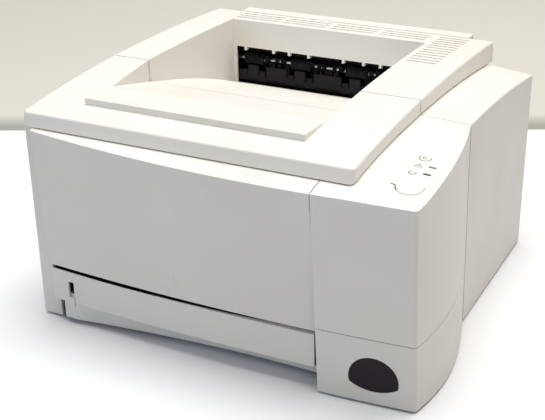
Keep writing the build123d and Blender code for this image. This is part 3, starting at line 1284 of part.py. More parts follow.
def gear(centre, teeth, phase, bore, hub=5.6):
    """Spur gear outside the left frame, with its hub towards the frame."""
    pitch = MODULE * teeth / 2
    radii = (pitch - 1.25 * MODULE, pitch, pitch + 0.95 * MODULE)
    points = []
    for i in range(teeth):
        middle = phase + 2 * pi * i / teeth
        steps = [(-1, r) for r in radii] + [(1, r) for r in reversed(radii)]
        for sign, radius in steps:
            angle = middle + sign * tooth_half(teeth, radius)
            points.append((centre[0] + radius * cos(angle), centre[1] + radius * sin(angle)))
    x1 = PATH_X - FRAME_HALF - PLATE - GEAR_STAND
    wheel = side_poly(points, x1 - GEAR_WIDTH, x1)
    wheel += rod_x(centre, hub, x1, PATH_X - FRAME_HALF - PLATE - 0.5)
    if pitch > 15:
        web = rod_x(centre, pitch - 6, x1 - 5, x1 - GEAR_WIDTH - 1) - rod_x(centre, hub + 2, x1, x1 - GEAR_WIDTH - 2)
        wheel -= web & block(-400, x1 - GEAR_WIDTH + 2.4, -400, 400, -400, 400)
    return wheel - rod_x(centre, bore, x1 - 20, x1 + 40)


def gear_studs():
    """Fixed studs of the main gear and the output idler."""
    x0 = PATH_X - FRAME_HALF - PLATE - GEAR_STAND - GEAR_WIDTH - 1.5
    studs = []
    for place in (MAIN, EXIT_GEAR_IDLER):
        stud = rod_x(place, STUD_R, x0, PATH_X - FRAME_HALF - PLATE)
        studs.append(stud + rod_x(place, STUD_R + 1.4, x0, x0 + 1.2))
    return studs


def main_motor():
    """Flat motor on the left frame behind the main gear."""
    x1 = PATH_X - FRAME_HALF - PLATE
    body = rod_x(MOTOR, MOTOR_R, x1 - GEAR_STAND + 2, x1)
    body = fillet(body.edges().filter_by(lambda e: e.center().X < x1 - 5), 2)
    flange = side_poly([(MOTOR[0] - 30, MOTOR[1] - 9), (MOTOR[0] + 30, MOTOR[1] - 9), (MOTOR[0] + 30, MOTOR[1] + 9), (MOTOR[0] - 30, MOTOR[1] + 9)], x1 - 2, x1)
    return body + flange - rod_x(MOTOR, SHAFT_R + RUN, x1 - 30, x1 + 5)


def motor_pinion():
    """Motor shaft with its steel pinion."""
    x1 = PATH_X - FRAME_HALF - PLATE
    wheel = gear(MOTOR, MOTOR_TEETH, MOTOR_PHASE, 0.5, SHAFT_R)
    wheel += rod_x(MOTOR, SHAFT_R, x1 - GEAR_STAND - GEAR_WIDTH, x1 - 0.5)
    return wheel


def power_supply():
    """Supply board on posts with its transformer, capacitors and heat sink."""
    x0, x1, y0, y1 = PATH_X + FRAME_HALF + PLATE + 6, SIDE_X - 10, STRIP + 60, STRIP + 300
    z = PAN_TOP + 8
    board = block(x0, x1, y0, y1, z, z + 1.6)
    for x in (x0 + 5, x1 - 5):
        for y in (y0 + 6, y1 - 6):
            board += rod_z(x, y, 3, PAN_TOP, z)
    top = z + 1.6
    board += block(x0 + 14, x0 + 52, y0 + 20, y0 + 62, top, top + 32)
    board += block(x0 + 8, x0 + 60, y0 + 90, y0 + 92.5, top, top + 30)
    board += block(x0 + 10, x0 + 40, y0 + 150, y0 + 178, top, top + 18)
    for y in (y0 + 110, y0 + 132):
        board += rod_z(x0 + 52, y, 9, top, top + 30)
    return board


def formatter_board():
    """Main logic board on the shelf, with its chips and memory sockets."""
    y0, y1, z0, z1 = STRIP + 176, STRIP + 334, BOARD_Z, BOARD_Z + 104
    board = block(BOARD_X, BOARD_X + 1.6, y0, y1, z0, z1)
    for y, z, width in ((40, 30, 26), (84, 34, 30), (60, 74, 20), (108, 76, 24)):
        board += block(BOARD_X + 1.6, BOARD_X + 4, y0 + y, y0 + y + width, z0 + z, z0 + z + width * 0.8)
    for z in (z0 + 8, z0 + 17):
        board += block(BOARD_X + 1.6, BOARD_X + 8, y0 + 12, y0 + 112, z, z + 5)
    return board + parallel_port()


def parallel_port():
    """Printer port through the back wall, wired to the main board."""
    y1 = SIDE_REAR_BOTTOM + 6.5
    x0 = BOARD_X - 12
    shell = block(x0, BOARD_X, STRIP + 320, y1, BOARD_Z + 24, BOARD_Z + 84)
    mouth = block(x0 + 2, BOARD_X - 2, y1 - 9, y1 + 1, BOARD_Z + 29, BOARD_Z + 79)
    tongue = block(x0 + 4.6, BOARD_X - 4.6, y1 - 10, y1 - 2, BOARD_Z + 33, BOARD_Z + 75)
    return shell - mouth + tongue


def power_inlet():
    """Mains socket in the back wall, with its three pins."""
    x0, x1 = INLET_X - 13.5, INLET_X + 13.5
    y1 = SIDE_REAR_BOTTOM + 1.5
    body = block(x0, x1, STRIP + 326, y1, INLET_Z - 10, INLET_Z + 10)
    body -= block(x0 + 1.6, x1 - 1.6, y1 - 14, y1 + 1, INLET_Z - 8.2, INLET_Z + 8.2)
    for x, z in ((INLET_X - 7, INLET_Z - 3), (INLET_X + 7, INLET_Z - 3), (INLET_X, INLET_Z + 1.5)):
        body += block(x - 1, x + 1, y1 - 15, y1 - 3, z - 2, z + 2)
    body += block(x0 + 2, x1 - 2, STRIP + 322, STRIP + 334, PAN_TOP, INLET_Z - 9)
    return body + switch_body()


def power_switch():
    """Rocker beside the mains socket."""
    pin = (SIDE_REAR_BOTTOM - 4, SWITCH_Z)
    cap = side_poly(
        [(pin[0] - 2.2, SWITCH_Z - 7.5), (SIDE_REAR_BOTTOM + 1.2, SWITCH_Z - 8.4), (SIDE_REAR_BOTTOM + 2.4, SWITCH_Z),
         (SIDE_REAR_BOTTOM + 4.6, SWITCH_Z + 8.0), (pin[0] - 2.2, SWITCH_Z + 6)],
        SWITCH_X - 5.5, SWITCH_X + 5.5,
    )
    return cap - rod_x(pin, 1.5 + RUN, SWITCH_X - 20, SWITCH_X + 20)


def switch_body():
    """Fixed case and pin of the rocker."""
    pin = (SIDE_REAR_BOTTOM - 4, SWITCH_Z)
    case = block(SWITCH_X - 8, SWITCH_X + 8, STRIP + 330, SIDE_REAR_BOTTOM + 1.5, SWITCH_Z - 11, SWITCH_Z + 11)
    case -= block(SWITCH_X - 6, SWITCH_X + 6, SIDE_REAR_BOTTOM - 11, SIDE_REAR_BOTTOM + 5, SWITCH_Z - 10, SWITCH_Z + 10)
    bridge = block(SWITCH_X + 7, INLET_X - 13, STRIP + 334, STRIP + 338, SWITCH_Z - 9, SWITCH_Z + 9)
    return case + bridge + rod_x(pin, 1.5, SWITCH_X - 7, SWITCH_X + 7)


def fan_frame():
    """Square frame of the cooling fan with three struts."""
    x, y = FAN
    z0, z1 = FAN_Z, FAN_Z + FAN_DEEP
    half = FAN_HALF
    frame = block(x - half, x + half, y - half, y + half, z0, z1) - rod_z(x, y, half - 1.5, z0 - 1, z1 + 1)
    frame += rod_z(x, y, 13, z0, z0 + 2)
    for turn in (90, 210, 330):
        dx, dy = cos(radians(turn)), sin(radians(turn))
        strut = Pos(x + dx * 20, y + dy * 20, z0 + 1) * Rot(0, 0, turn) * Box(20, 3, 2)
        frame += strut
    return frame + rod_z(x, y, 2.5, z0, z0 + 9)


def fan_rotor():
    """Hub and seven pitched blades."""
    x, y = FAN
    z0 = FAN_Z + 2.6
    hub = rod_z(x, y, 12, z0, z0 + 9) - rod_z(x, y, 2.5 + RUN, z0 - 1, z0 + 7)
    for i in range(7):
        blade = Pos(19, 0, z0 + 4.5) * Rot(32, 0, 0) * Box(16, 11, 1.2)
        hub += Pos(x, y, 0) * Rot(0, 0, 360 * i / 7) * blade
    return hub


def control_board():
    """Small board under the control panel with the switch and lamps."""
    x0, x1, y0, y1 = RIGHT - 52, RIGHT - 12, STRIP - 8, STRIP + 70
    board = block(x0, x1, y0, y1, PANEL_Z - 1.6, PANEL_Z)
    return board + block(BUTTON_X - 6, BUTTON_X + 6, BUTTON_Y - 6, BUTTON_Y + 6, PANEL_Z, PANEL_Z + 4)


def go_button():
    """Round key whose top follows the panel's slope, on a stem."""
    cap = rod_z(BUTTON_X, BUTTON_Y, BUTTON_R, 150, 260) - above_covers(0.5)
    cap -= Pos(0, 0, -5) * (rod_z(BUTTON_X, BUTTON_Y, BUTTON_R + 1, 100, 250) - above_covers(0.5))
    return cap + rod_z(BUTTON_X, BUTTON_Y, 3, PANEL_Z + 4 + BUTTON_STROKE + 0.1, edge_z(BUTTON_Y) - 3)


def light_pipe(y):
    """Clear pipe that carries a lamp's light up to the panel."""
    pipe = light_hole(y, PANEL_Z, 260, 0)
    return pipe - above_covers(0.2)


def export_all(pieces):
    """Write each piece to its own file."""
    for name, piece in pieces.items():
        export_step(piece, f"parts/{name}.step")


MAIN = mesh_place(DRUM, centres(DRUM_TEETH, MAIN_TEETH), FUSER, centres(MAIN_TEETH, FUSER_TEETH), -1)
EXIT_GEAR_IDLER = mesh_place(
    FUSER, centres(FUSER_TEETH, EXIT_IDLER_TEETH), EXIT, centres(EXIT_IDLER_TEETH, EXIT_TEETH), 1
)
MOTOR_GAP = centres(MOTOR_TEETH, MAIN_TEETH)
MOTOR = (MAIN[0] + MOTOR_GAP * cos(MOTOR_ANGLE), MAIN[1] + MOTOR_GAP * sin(MOTOR_ANGLE))
DRUM_PHASE = meshed_phase(MAIN, MAIN_TEETH, 0.0, DRUM, DRUM_TEETH)
FUSER_PHASE = meshed_phase(MAIN, MAIN_TEETH, 0.0, FUSER, FUSER_TEETH)
MOTOR_PHASE = meshed_phase(MAIN, MAIN_TEETH, 0.0, MOTOR, MOTOR_TEETH)
IDLER_PHASE = meshed_phase(FUSER, FUSER_TEETH, FUSER_PHASE, EXIT_GEAR_IDLER, EXIT_IDLER_TEETH)
EXIT_PHASE = meshed_phase(EXIT_GEAR_IDLER, EXIT_IDLER_TEETH, IDLER_PHASE, EXIT, EXIT_TEETH)


PIECES = {
    "base_pan": base_pan(),
    "rubber_feet": rubber_feet(),
    "left_frame": left_frame(),
    "right_frame": right_frame(),
    "cross_members": Compound(children=[front_beam(), scanner_plate()]),
    "cassette_rails": cassette_rails(),
    "paper_guides": Compound(children=[turn_guide(), feed_guide()]),
    "delivery_guide": delivery_guide(),
    "control_cover": control_cover(),
    "column_foot": column_foot(),
    "ir_window": ir_window(),
    "right_cover": right_cover(),
    "left_cover": left_cover(),
    "rear_cover": rear_cover(),
    "rear_door": rear_door(),
    "top_cover": top_cover(),
    "cartridge_door": cartridge_door(),
    "tray_door": tray_door(),
    "tray_door_liner": tray_liner(),
    "tray_extension": tray_extension(),
    "sheet_guide_left": sheet_guide(-1),
    "sheet_guide_right": sheet_guide(1),
    "cassette": cassette(),
    "cassette_front": cassette_front(),
    "separation_pad": separation_pad(),
    "lift_plate": lift_plate(),
    "paper_gauge": paper_gauge(),
    "side_guide_left": side_guide(-1),
    "side_guide_right": side_guide(1),
    "rear_stop": rear_stop(),
    "pickup_roller": pickup_roller(),
    "hand_feed_roller": hand_feed_roller(),
    "register_roller": register_roller(),
    "register_idler": register_idler(),
    "toner_cartridge": toner_cartridge(),
    "drum": drum() + gear(DRUM, DRUM_TEETH, DRUM_PHASE, SHAFT_R),
    "transfer_roller": transfer_roller(),
    "fuser_frame": fuser_frame(),
    "fuser_roller": fuser_roller() + gear(FUSER, FUSER_TEETH, FUSER_PHASE, SHAFT_R),
    "pressure_roller": pressure_roller(),
    "exit_shaft": exit_shaft() + gear(EXIT, EXIT_TEETH, EXIT_PHASE, SHAFT_R, 5.0),
    "exit_rollers": exit_rollers(),
    "exit_idlers": exit_idlers(),
    "main_gear": gear(MAIN, MAIN_TEETH, 0.0, STUD_R + RUN),
    "exit_gear_idler": gear(EXIT_GEAR_IDLER, EXIT_IDLER_TEETH, IDLER_PHASE, STUD_R + RUN),
    "main_motor": main_motor(),
    "motor_pinion": motor_pinion(),
    "scanner_housing": scanner_housing(),
    "scanner_lid": scanner_lid(),
    "polygon_mirror": polygon_mirror(),
    "power_supply": power_supply(),
    "formatter_board": formatter_board(),
    "power_inlet": power_inlet(),
    "power_switch": power_switch(),
    "fan_frame": fan_frame(),
    "fan_rotor": fan_rotor(),
    "control_board": control_board(),
    "go_button": go_button(),
    "ready_light": light_pipe(LIGHT_YS[0]),
    "error_light": light_pipe(LIGHT_YS[1]),
}
export_all(PIECES)
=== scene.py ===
import bmesh
import bpy
import numpy as np
from mathutils import Matrix, Vector


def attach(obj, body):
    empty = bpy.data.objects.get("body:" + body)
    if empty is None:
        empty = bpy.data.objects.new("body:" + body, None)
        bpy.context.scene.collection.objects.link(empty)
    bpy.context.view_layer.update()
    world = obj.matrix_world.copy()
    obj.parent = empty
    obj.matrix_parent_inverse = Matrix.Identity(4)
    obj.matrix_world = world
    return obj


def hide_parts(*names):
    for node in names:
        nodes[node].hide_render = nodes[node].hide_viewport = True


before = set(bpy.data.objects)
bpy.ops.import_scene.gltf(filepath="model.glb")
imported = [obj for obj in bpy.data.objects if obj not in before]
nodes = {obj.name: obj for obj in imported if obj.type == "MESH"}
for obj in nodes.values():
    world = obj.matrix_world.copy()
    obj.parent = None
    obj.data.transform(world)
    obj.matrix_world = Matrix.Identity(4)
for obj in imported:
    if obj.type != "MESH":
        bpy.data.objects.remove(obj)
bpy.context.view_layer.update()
MM = 0.001

# Outer covers
# Injection-moulded ABS in a warm office white. The tool's spark-eroded faces leave a fine
# grain on every visible side, and years of light have yellowed the shells a little.

SHELL_WHITE = (0.86, 0.842, 0.797)
SHELL_AGED = (0.84, 0.810, 0.750)
SHELL_FINISH = (0.50, 1400.0, 0.2)
AGEING_CELLS = 7.0
MARK_CELLS = 46.0
MARK_STRETCH = (1, 1, 0.35)
MARK_TONE = 0.82
SPECK_SHARE = 0.6
SPECK_TONE = 0.965
GLOSS_CELLS = 30.0
GLOSS_SPREAD = 0.06
MOULDED_SPECULAR = 0.42
GRAIN_STRENGTH = 0.22
GRAIN_DEPTH = 0.00012


def shader_net(name):
    """New node material with its node tree, its shader and its object coordinates."""
    material = bpy.data.materials.new(name)
    material.use_nodes = True
    net = material.node_tree
    place = net.nodes.new("ShaderNodeTexCoord").outputs["Object"]
    return material, net, net.nodes["Principled BSDF"], place


def noise(net, place, scale, detail=2.0, stretch=(1, 1, 1)):
    """Noise value at a number of cells per metre, stretched along the axes."""
    mapping = net.nodes.new("ShaderNodeMapping")
    mapping.inputs["Scale"].default_value = stretch
    net.links.new(place, mapping.inputs["Vector"])
    texture = net.nodes.new("ShaderNodeTexNoise")
    texture.inputs["Scale"].default_value = scale
    texture.inputs["Detail"].default_value = detail
    net.links.new(mapping.outputs["Vector"], texture.inputs["Vector"])
    return texture.outputs["Fac"]


def ramp(net, value, low, high, first, last):
    """Maps a value between two limits onto two colours or two grey levels."""
    node = net.nodes.new("ShaderNodeValToRGB")
    node.color_ramp.elements[0].position = low
    node.color_ramp.elements[1].position = high
    for element, colour in zip(node.color_ramp.elements, (first, last)):
        shade = colour if isinstance(colour, tuple) else (colour,) * 3
        element.color = (*shade, 1.0)
    net.links.new(value, node.inputs["Fac"])
    return node.outputs["Color"]


def blend(net, factor, under, over, mode="MIX"):
    """Mix of two colours by a factor, either of them a socket or a plain colour."""
    node = net.nodes.new("ShaderNodeMix")
    node.data_type = "RGBA"
    node.blend_type = mode
    factor_socket, under_socket, over_socket = (node.inputs[k] for k in (0, 6, 7))
    for value, socket in ((factor, factor_socket), (under, under_socket), (over, over_socket)):
        if isinstance(value, bpy.types.NodeSocket):
            net.links.new(value, socket)
        elif isinstance(value, tuple):
            socket.default_value = (*value, 1.0)
        else:
            socket.default_value = value
    return node.outputs[2]


def bump(net, shader, height, strength, depth):
    """Feeds a height to the shader's normal; depth is in metres."""
    node = net.nodes.new("ShaderNodeBump")
    node.inputs["Strength"].default_value = strength
    node.inputs["Distance"].default_value = depth
    net.links.new(height, node.inputs["Height"])
    if shader.inputs["Normal"].is_linked:
        net.links.new(shader.inputs["Normal"].links[0].from_socket, node.inputs["Normal"])
    net.links.new(node.outputs["Normal"], shader.inputs["Normal"])


def roughen(net, shader, value, low, high, smoothest, roughest):
    """Feeds a value to the shader's roughness, mapped between two limits."""
    net.links.new(ramp(net, value, low, high, smoothest, roughest), shader.inputs["Roughness"])


def adjust(material, name, value):
    """Sets one input of a material's shader."""
    material.node_tree.nodes["Principled BSDF"].inputs[name].default_value = value


def moulded(name, fresh, aged, roughness, grain, soil):
    """Grained moulding: two near tints by slow noise, handling marks as dark as the soil,
    and an eroded grain of so many cells per metre."""
    material, net, shader, place = shader_net(name)
    ageing = ramp(net, noise(net, place, AGEING_CELLS, 3.0), 0.38, 0.68, fresh, aged)
    marks = ramp(net, noise(net, place, MARK_CELLS, 5.0, MARK_STRETCH), 0.66, 0.80, 0.0, soil)
    coloured = blend(net, marks, ageing, tuple(MARK_TONE * c for c in aged))
    speck = ramp(net, noise(net, place, grain * SPECK_SHARE, 2.0), 0.3, 0.7, SPECK_TONE, 1.0)
    net.links.new(blend(net, 1.0, coloured, speck, "MULTIPLY"), shader.inputs["Base Color"])
    gloss = noise(net, place, GLOSS_CELLS, 4.0)
    roughen(net, shader, gloss, 0.35, 0.7, roughness - GLOSS_SPREAD, roughness + GLOSS_SPREAD)
    adjust(material, "Specular IOR Level", MOULDED_SPECULAR)
    bump(net, shader, noise(net, place, grain, 3.0), GRAIN_STRENGTH, GRAIN_DEPTH)
    return material


def dress(material, *names):
    """Gives CAD nodes one material."""
    for name in names:
        slots = nodes[name].data.materials
        slots.clear()
        slots.append(material)


shell = moulded("shell_white", SHELL_WHITE, SHELL_AGED, *SHELL_FINISH)
dress(shell, "control_cover", "column_foot", "right_cover", "left_cover", "rear_cover", "rear_door")
dress(shell, "top_cover", "cartridge_door", "tray_door", "cassette_front", "go_button")

# Sheet guides at the output slot
# Black ABS mouldings screwed to the frame: a curl that turns the sheet up into a stepped
# comb, ribs and low screens on the comb's shelf, and a top bar with a back wall. The screens
# and the back wall are sheets of painted shade: they hide the shaft's lower half and the works
# behind the ribs. The ribs' black is set darker than real plastic to paint the slot's shade.

PATH_X = -41.5 * MM
FRAME_HALF = 129.6 * MM
FRAME_LEFT, FRAME_RIGHT = PATH_X - FRAME_HALF, PATH_X + FRAME_HALF
FIN_Y = 155.8 * MM
FIN_THICK = 1.2 * MM
FIN_HIGH = 182.4 * MM
FIN_CENTRES = np.array([-75.4, -63.5, -55.5, -19.4, -11.3, -5.0,
                        7.5, 16.2, 46.0, 51.8, 59.6, 75.4]) * MM
FIN_WIDTHS = np.array([5.0, 3.7, 5.1, 4.0, 3.5, 3.5, 3.4, 5.6, 2.8, 3.5, 5.0, 4.6]) * MM
SHADE_SCREEN_CENTRES = np.array([-62.0, -0.8, 61.8]) * MM
SHADE_SCREEN_WIDTHS = np.array([30.0, 39.6, 31.0]) * MM
SHADE_SCREEN_TOP = 175.4 * MM
BAR_Z = 188.2 * MM
BAR_DEPTH = 2 * MM
CAP_Z = 190.6 * MM
CAP_THICK = 1.2 * MM
SHADE_WALL_Y = 171.2 * MM
SHADE_WALL_THICK = 1.4 * MM
CURL_R = 34.0 * MM
CURL_THICK = 2.0 * MM
CURL_Y, CURL_Z = 133.2 * MM, 134.0 * MM
SHELF_LOW, SHELF_HIGH = 151.8 * MM, 153.8 * MM
COMB_Y = 153.9 * MM
COMB_THICK = 3.2 * MM
COMB_TALL, COMB_LOW = 170.0 * MM, 163.6 * MM
TALL_CENTRES = np.array([-92.7, -63.2, -33.7, 0.5, 33.7, 63.2, 92.7]) * MM
TALL_WIDTHS = np.array([14.0, 26.0, 14.0, 34.0, 14.0, 26.0, 14.0]) * MM
LOW_CENTRES = np.array([-107.0, -81.6, -45.4, -22.0, 22.0, 45.4, 81.6, 107.0]) * MM
LOW_WIDTHS = np.array([13.0, 7.6, 7.6, 7.6, 7.6, 7.6, 7.6, 13.0]) * MM
LOW_SET = 0.6 * MM
BLADE_CENTRES = np.array([-66.0, -7.5, 9.0, 62.0]) * MM
BLADE_WIDTH = 1.2 * MM
BLADE_SET = 0.4 * MM
BLADE_TOP = 174.6 * MM
LIP_SET = 0.3 * MM
LIP_TOP = 158.6 * MM
LIP_MARGIN = 16 * MM
TALL_CUT, LOW_CUT, THIN_CUT = 1.1 * MM, 0.8 * MM, 0.3 * MM
GUIDE_BLACK = (0.008, 0.006, 0.009)
GUIDE_WORN = (0.017, 0.014, 0.020)
GUIDE_FINISH = (0.55, 900.0, 0.25)
GUIDE_SPECULAR = 0.2
# Near-black below any real plastic: painted shade for the ribs, screens, idlers and gap strip.
FIN_SHADE_BLACK = (0.003, 0.003, 0.0035)
FIN_SHADE_WORN = tuple(1.6 * c for c in FIN_SHADE_BLACK)
FIN_FINISH = (0.7, 900.0, 0.1)
FIN_SPECULAR = 0.12
WELD = 1e-7
SMOOTH_ANGLE = 0.6


def lofted(name, bodies):
    """One mesh from closed sections: each body is an array of sections by points by
    three, its side faces join neighbouring sections, and both ends close on a centre."""
    corners, faces, count = [], [], 0
    for sections in bodies:
        middles = sections[[0, -1]].mean(axis=1, keepdims=True)
        centres = np.repeat(middles, sections.shape[1], axis=1)
        rings = np.concatenate([centres[:1], sections, centres[1:]])
        rows, columns = rings.shape[:2]
        index = np.arange(rows * columns).reshape(rows, columns) + count
        right = np.roll(index, -1, axis=1)
        quads = np.stack([index[:-1], right[:-1], right[1:], index[1:]], axis=-1)
        corners.append(rings.reshape(-1, 3))
        faces.append(quads.reshape(-1, 4))
        count += rows * columns
    mesh = bpy.data.meshes.new(name)
    mesh.from_pydata(np.concatenate(corners).tolist(), [], np.concatenate(faces).tolist())
    work = bmesh.new()
    work.from_mesh(mesh)
    bmesh.ops.remove_doubles(work, verts=work.verts, dist=WELD)
    bmesh.ops.recalc_face_normals(work, faces=work.faces)
    work.to_mesh(mesh)
    work.free()
    piece = bpy.data.objects.new(name, mesh)
    bpy.context.scene.collection.objects.link(piece)
    return piece


def smooth(piece):
    """Shades a piece smooth except over sharp edges."""
    with bpy.context.temp_override(object=piece, selected_editable_objects=[piece]):
        bpy.ops.object.shade_smooth_by_angle(angle=SMOOTH_ANGLE)


def blocks(low, high, soften):
    """Bars between low and high corners, one for each row: an eight-sided ring with cut
    corners, drawn in by the same cut at both ends."""
    low, high = np.broadcast_arrays(np.atleast_2d(low), np.atleast_2d(high))
    size = high - low
    cut = np.minimum(soften, size.min(axis=1) * 0.3)
    steps = np.array([(-1, -1, 1, 0), (1, -1, -1, 0), (1, -1, 0, 1), (1, 1, 0, -1),
                      (1, 1, -1, 0), (-1, 1, 1, 0), (-1, 1, 0, -1), (-1, -1, 0, 1)], float)
    middle, half = (low + high) / 2, size / 2
    bodies = []
    for i in range(len(low)):
        ring_x = middle[i, 0] + steps[:, 0] * half[i, 0] + steps[:, 2] * cut[i]
        ring_y = middle[i, 1] + steps[:, 1] * half[i, 1] + steps[:, 3] * cut[i]
        levels = np.array([low[i, 2], low[i, 2] + cut[i], high[i, 2] - cut[i], high[i, 2]])
        shrink = np.array([cut[i], 0.0, 0.0, cut[i]])
        x = ring_x[None, :] - np.sign(ring_x - middle[i, 0])[None, :] * shrink[:, None]
        y = ring_y[None, :] - np.sign(ring_y - middle[i, 1])[None, :] * shrink[:, None]
        z = np.repeat(levels[:, None], len(steps), axis=1)
        bodies.append(np.stack([x, y, z], axis=-1))
    return bodies


def row(centres, widths, y0, y1, z0, z1, soften):
    """Blocks in a row along the slot: each reaches half its width to both sides of its
    centre."""
    centres, widths = np.broadcast_arrays(centres, widths)
    ends = []
    for side, y, z in ((-1, y0, z0), (1, y1, z1)):
        x = PATH_X + centres + side * widths / 2
        ends.append(np.stack([x, np.full(len(x), y), np.full(len(x), z)], axis=1))
    return blocks(*ends, soften)


def carried(outline, x0, x1):
    """Side-view outline of (y, z) points carried straight from x0 to x1."""
    outline = np.asarray(outline, float)
    x = np.repeat(np.array([x0, x1])[:, None], len(outline), axis=1)
    y, z = (np.broadcast_to(outline[:, k], x.shape) for k in (0, 1))
    return np.stack([x, y, z], axis=-1)


def plate(y0, y1, z0, z1, x0=FRAME_LEFT, x1=FRAME_RIGHT):
    """Rectangle of the side view carried from x0 to x1."""
    return carried([(y0, z0), (y1, z0), (y1, z1), (y0, z1)], x0, x1)


def curl(steps=28):
    """Quarter bend that turns the sheet up: inner and outer radius swept by one angle,
    then straight up to the shelf."""
    turn = np.linspace(-np.pi / 2, 0, steps)
    inner = CURL_R - CURL_THICK
    y = CURL_Y + np.stack([inner * np.cos(turn), CURL_R * np.cos(turn)], axis=1)
    z = CURL_Z + np.stack([inner * np.sin(turn), CURL_R * np.sin(turn)], axis=1)
    y, z = np.concatenate([y, y[-1:]]), np.concatenate([z, np.full((1, 2), SHELF_LOW)])
    section = [(FRAME_LEFT, 0), (FRAME_RIGHT, 0), (FRAME_RIGHT, 1), (FRAME_LEFT, 1)]
    lines = [np.stack([np.full(len(y), x), y[:, k], z[:, k]], axis=-1) for x, k in section]
    return np.stack(lines, axis=1)


guide_black = moulded("guide_black", GUIDE_BLACK, GUIDE_WORN, *GUIDE_FINISH)
adjust(guide_black, "Specular IOR Level", GUIDE_SPECULAR)
dress(guide_black, "delivery_guide", "paper_guides", "cassette_rails")
fin_shade_black = moulded("fin_shade_black", FIN_SHADE_BLACK, FIN_SHADE_WORN, *FIN_FINISH)
adjust(fin_shade_black, "Specular IOR Level", FIN_SPECULAR)
comb_back = COMB_Y + COMB_THICK
comb_parts = [curl(), plate(COMB_Y, CURL_Y + CURL_R, SHELF_LOW, SHELF_HIGH)]
comb_parts += row(TALL_CENTRES, TALL_WIDTHS, COMB_Y, comb_back, SHELF_LOW, COMB_TALL, TALL_CUT)
comb_parts += row(LOW_CENTRES, LOW_WIDTHS, COMB_Y + LOW_SET, comb_back,
                  SHELF_LOW, COMB_LOW, LOW_CUT)
comb_parts += row(BLADE_CENTRES, BLADE_WIDTH, COMB_Y + BLADE_SET, comb_back,
                  COMB_LOW, BLADE_TOP, THIN_CUT)
comb_parts.append(plate(COMB_Y + LIP_SET, comb_back, SHELF_LOW, LIP_TOP,
                        FRAME_LEFT + LIP_MARGIN, FRAME_RIGHT - LIP_MARGIN))
comb = lofted("delivery_comb", comb_parts)
comb.data.materials.append(guide_black)
smooth(comb)
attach(comb, "chassis")
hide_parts("delivery_guide")
cap_outline = [(FIN_Y, BAR_Z), (FIN_Y + BAR_DEPTH, BAR_Z), (FIN_Y + BAR_DEPTH, CAP_Z - CAP_THICK),
               (SHADE_WALL_Y, CAP_Z - CAP_THICK), (SHADE_WALL_Y, CAP_Z), (FIN_Y, CAP_Z)]
fin_parts = row(SHADE_SCREEN_CENTRES, SHADE_SCREEN_WIDTHS, FIN_Y, FIN_Y + FIN_THICK,
                SHELF_HIGH, SHADE_SCREEN_TOP, THIN_CUT)
fin_parts += row(FIN_CENTRES, FIN_WIDTHS, FIN_Y, FIN_Y + FIN_THICK, SHELF_HIGH, FIN_HIGH, THIN_CUT)
fin_parts.append(carried(cap_outline, FRAME_LEFT, FRAME_RIGHT))
fin_parts.append(plate(SHADE_WALL_Y - SHADE_WALL_THICK, SHADE_WALL_Y, SHELF_HIGH, CAP_Z))
fins = lofted("upper_guide_fins_and_shade", fin_parts)
fins.data.materials.append(fin_shade_black)
smooth(fins)
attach(fins, "chassis")
# The idlers get the same near-black: painted shade at the top of the slot.
dress(fin_shade_black, "exit_idlers")

# Painted shade under the tray door
# A near-black strip along the cassette's top edge paints the shade in the gap below the tray
# door; it stands for no real part. Its front edge follows the bow of the cassette's front.

SHADE_STRIP_LEFT, SHADE_STRIP_RIGHT = -184.5 * MM, 98.7 * MM
SHADE_STRIP_LOW, SHADE_STRIP_HIGH = 56.9 * MM, 57.5 * MM
SHADE_STRIP_BACK = -170.5 * MM
BOW_X, BOW_FRONT = -42.9 * MM, -185.4 * MM
BOW_R = 1369 * MM


def gap_shade_outline(steps=40):
    """Strip whose front edge is an arc: its y lags the foremost point by the radius less
    the root of the squared radius less the squared distance from the middle."""
    x = np.linspace(SHADE_STRIP_LEFT, SHADE_STRIP_RIGHT, steps)
    front = BOW_FRONT + BOW_R - np.sqrt(BOW_R ** 2 - (x - BOW_X) ** 2)
    back = np.full(steps, SHADE_STRIP_BACK)
    y = np.stack([front, back, back, front], axis=1)
    z = np.broadcast_to([SHADE_STRIP_LOW, SHADE_STRIP_LOW, SHADE_STRIP_HIGH, SHADE_STRIP_HIGH], y.shape)
    return np.stack([np.repeat(x[:, None], 4, axis=1), y, z], axis=-1)


# Near-black strip on the cassette's top edge: painted shade of the gap under the door.
shade_piece = lofted("gap_painted_shade", [gap_shade_outline()])
shade_piece.data.materials.append(fin_shade_black)
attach(shade_piece, "paper_tray")

# Louvre vanes
# Slanted slats in the slots of the lid let warm air out and keep dust and light from the
# works. They are moulded in one with the lid, of its own plastic.

LOUVRE_YS = (76.9 + 9.4 * np.arange(12)) * MM
LOUVRE_WIDTH = 3.4 * MM
LOUVRE_LEFT, LOUVRE_RIGHT = 79.3 * MM, 111.5 * MM
STRIP_START = -158.5 * MM
STRIP_PITCH = 57.95 * MM
STRIP_LENGTH = 52.95 * MM
VANE_TAIL = 0.3 * MM
STRIP_FRONT_Y = 155.8 * MM
LID_CREST_Y, LID_CREST_Z = -10.6 * MM, 227.8 * MM
LID_REAR_Y, LID_REAR_Z = 193.4 * MM, 220.1 * MM
VANE_TOP = 1.0 * MM
VANE_THICK = 1.3 * MM
VANE_DROP = 2.0 * MM
VANE_TUCK = 0.1 * MM
STRIPS = 4


def lid_height(y):
    """Height of the lid's top: it falls from its crest by the square of the distance."""
    share = (y - LID_CREST_Y) / (LID_REAR_Y - LID_CREST_Y)
    return LID_CREST_Z - (LID_CREST_Z - LID_REAR_Z) * share ** 2


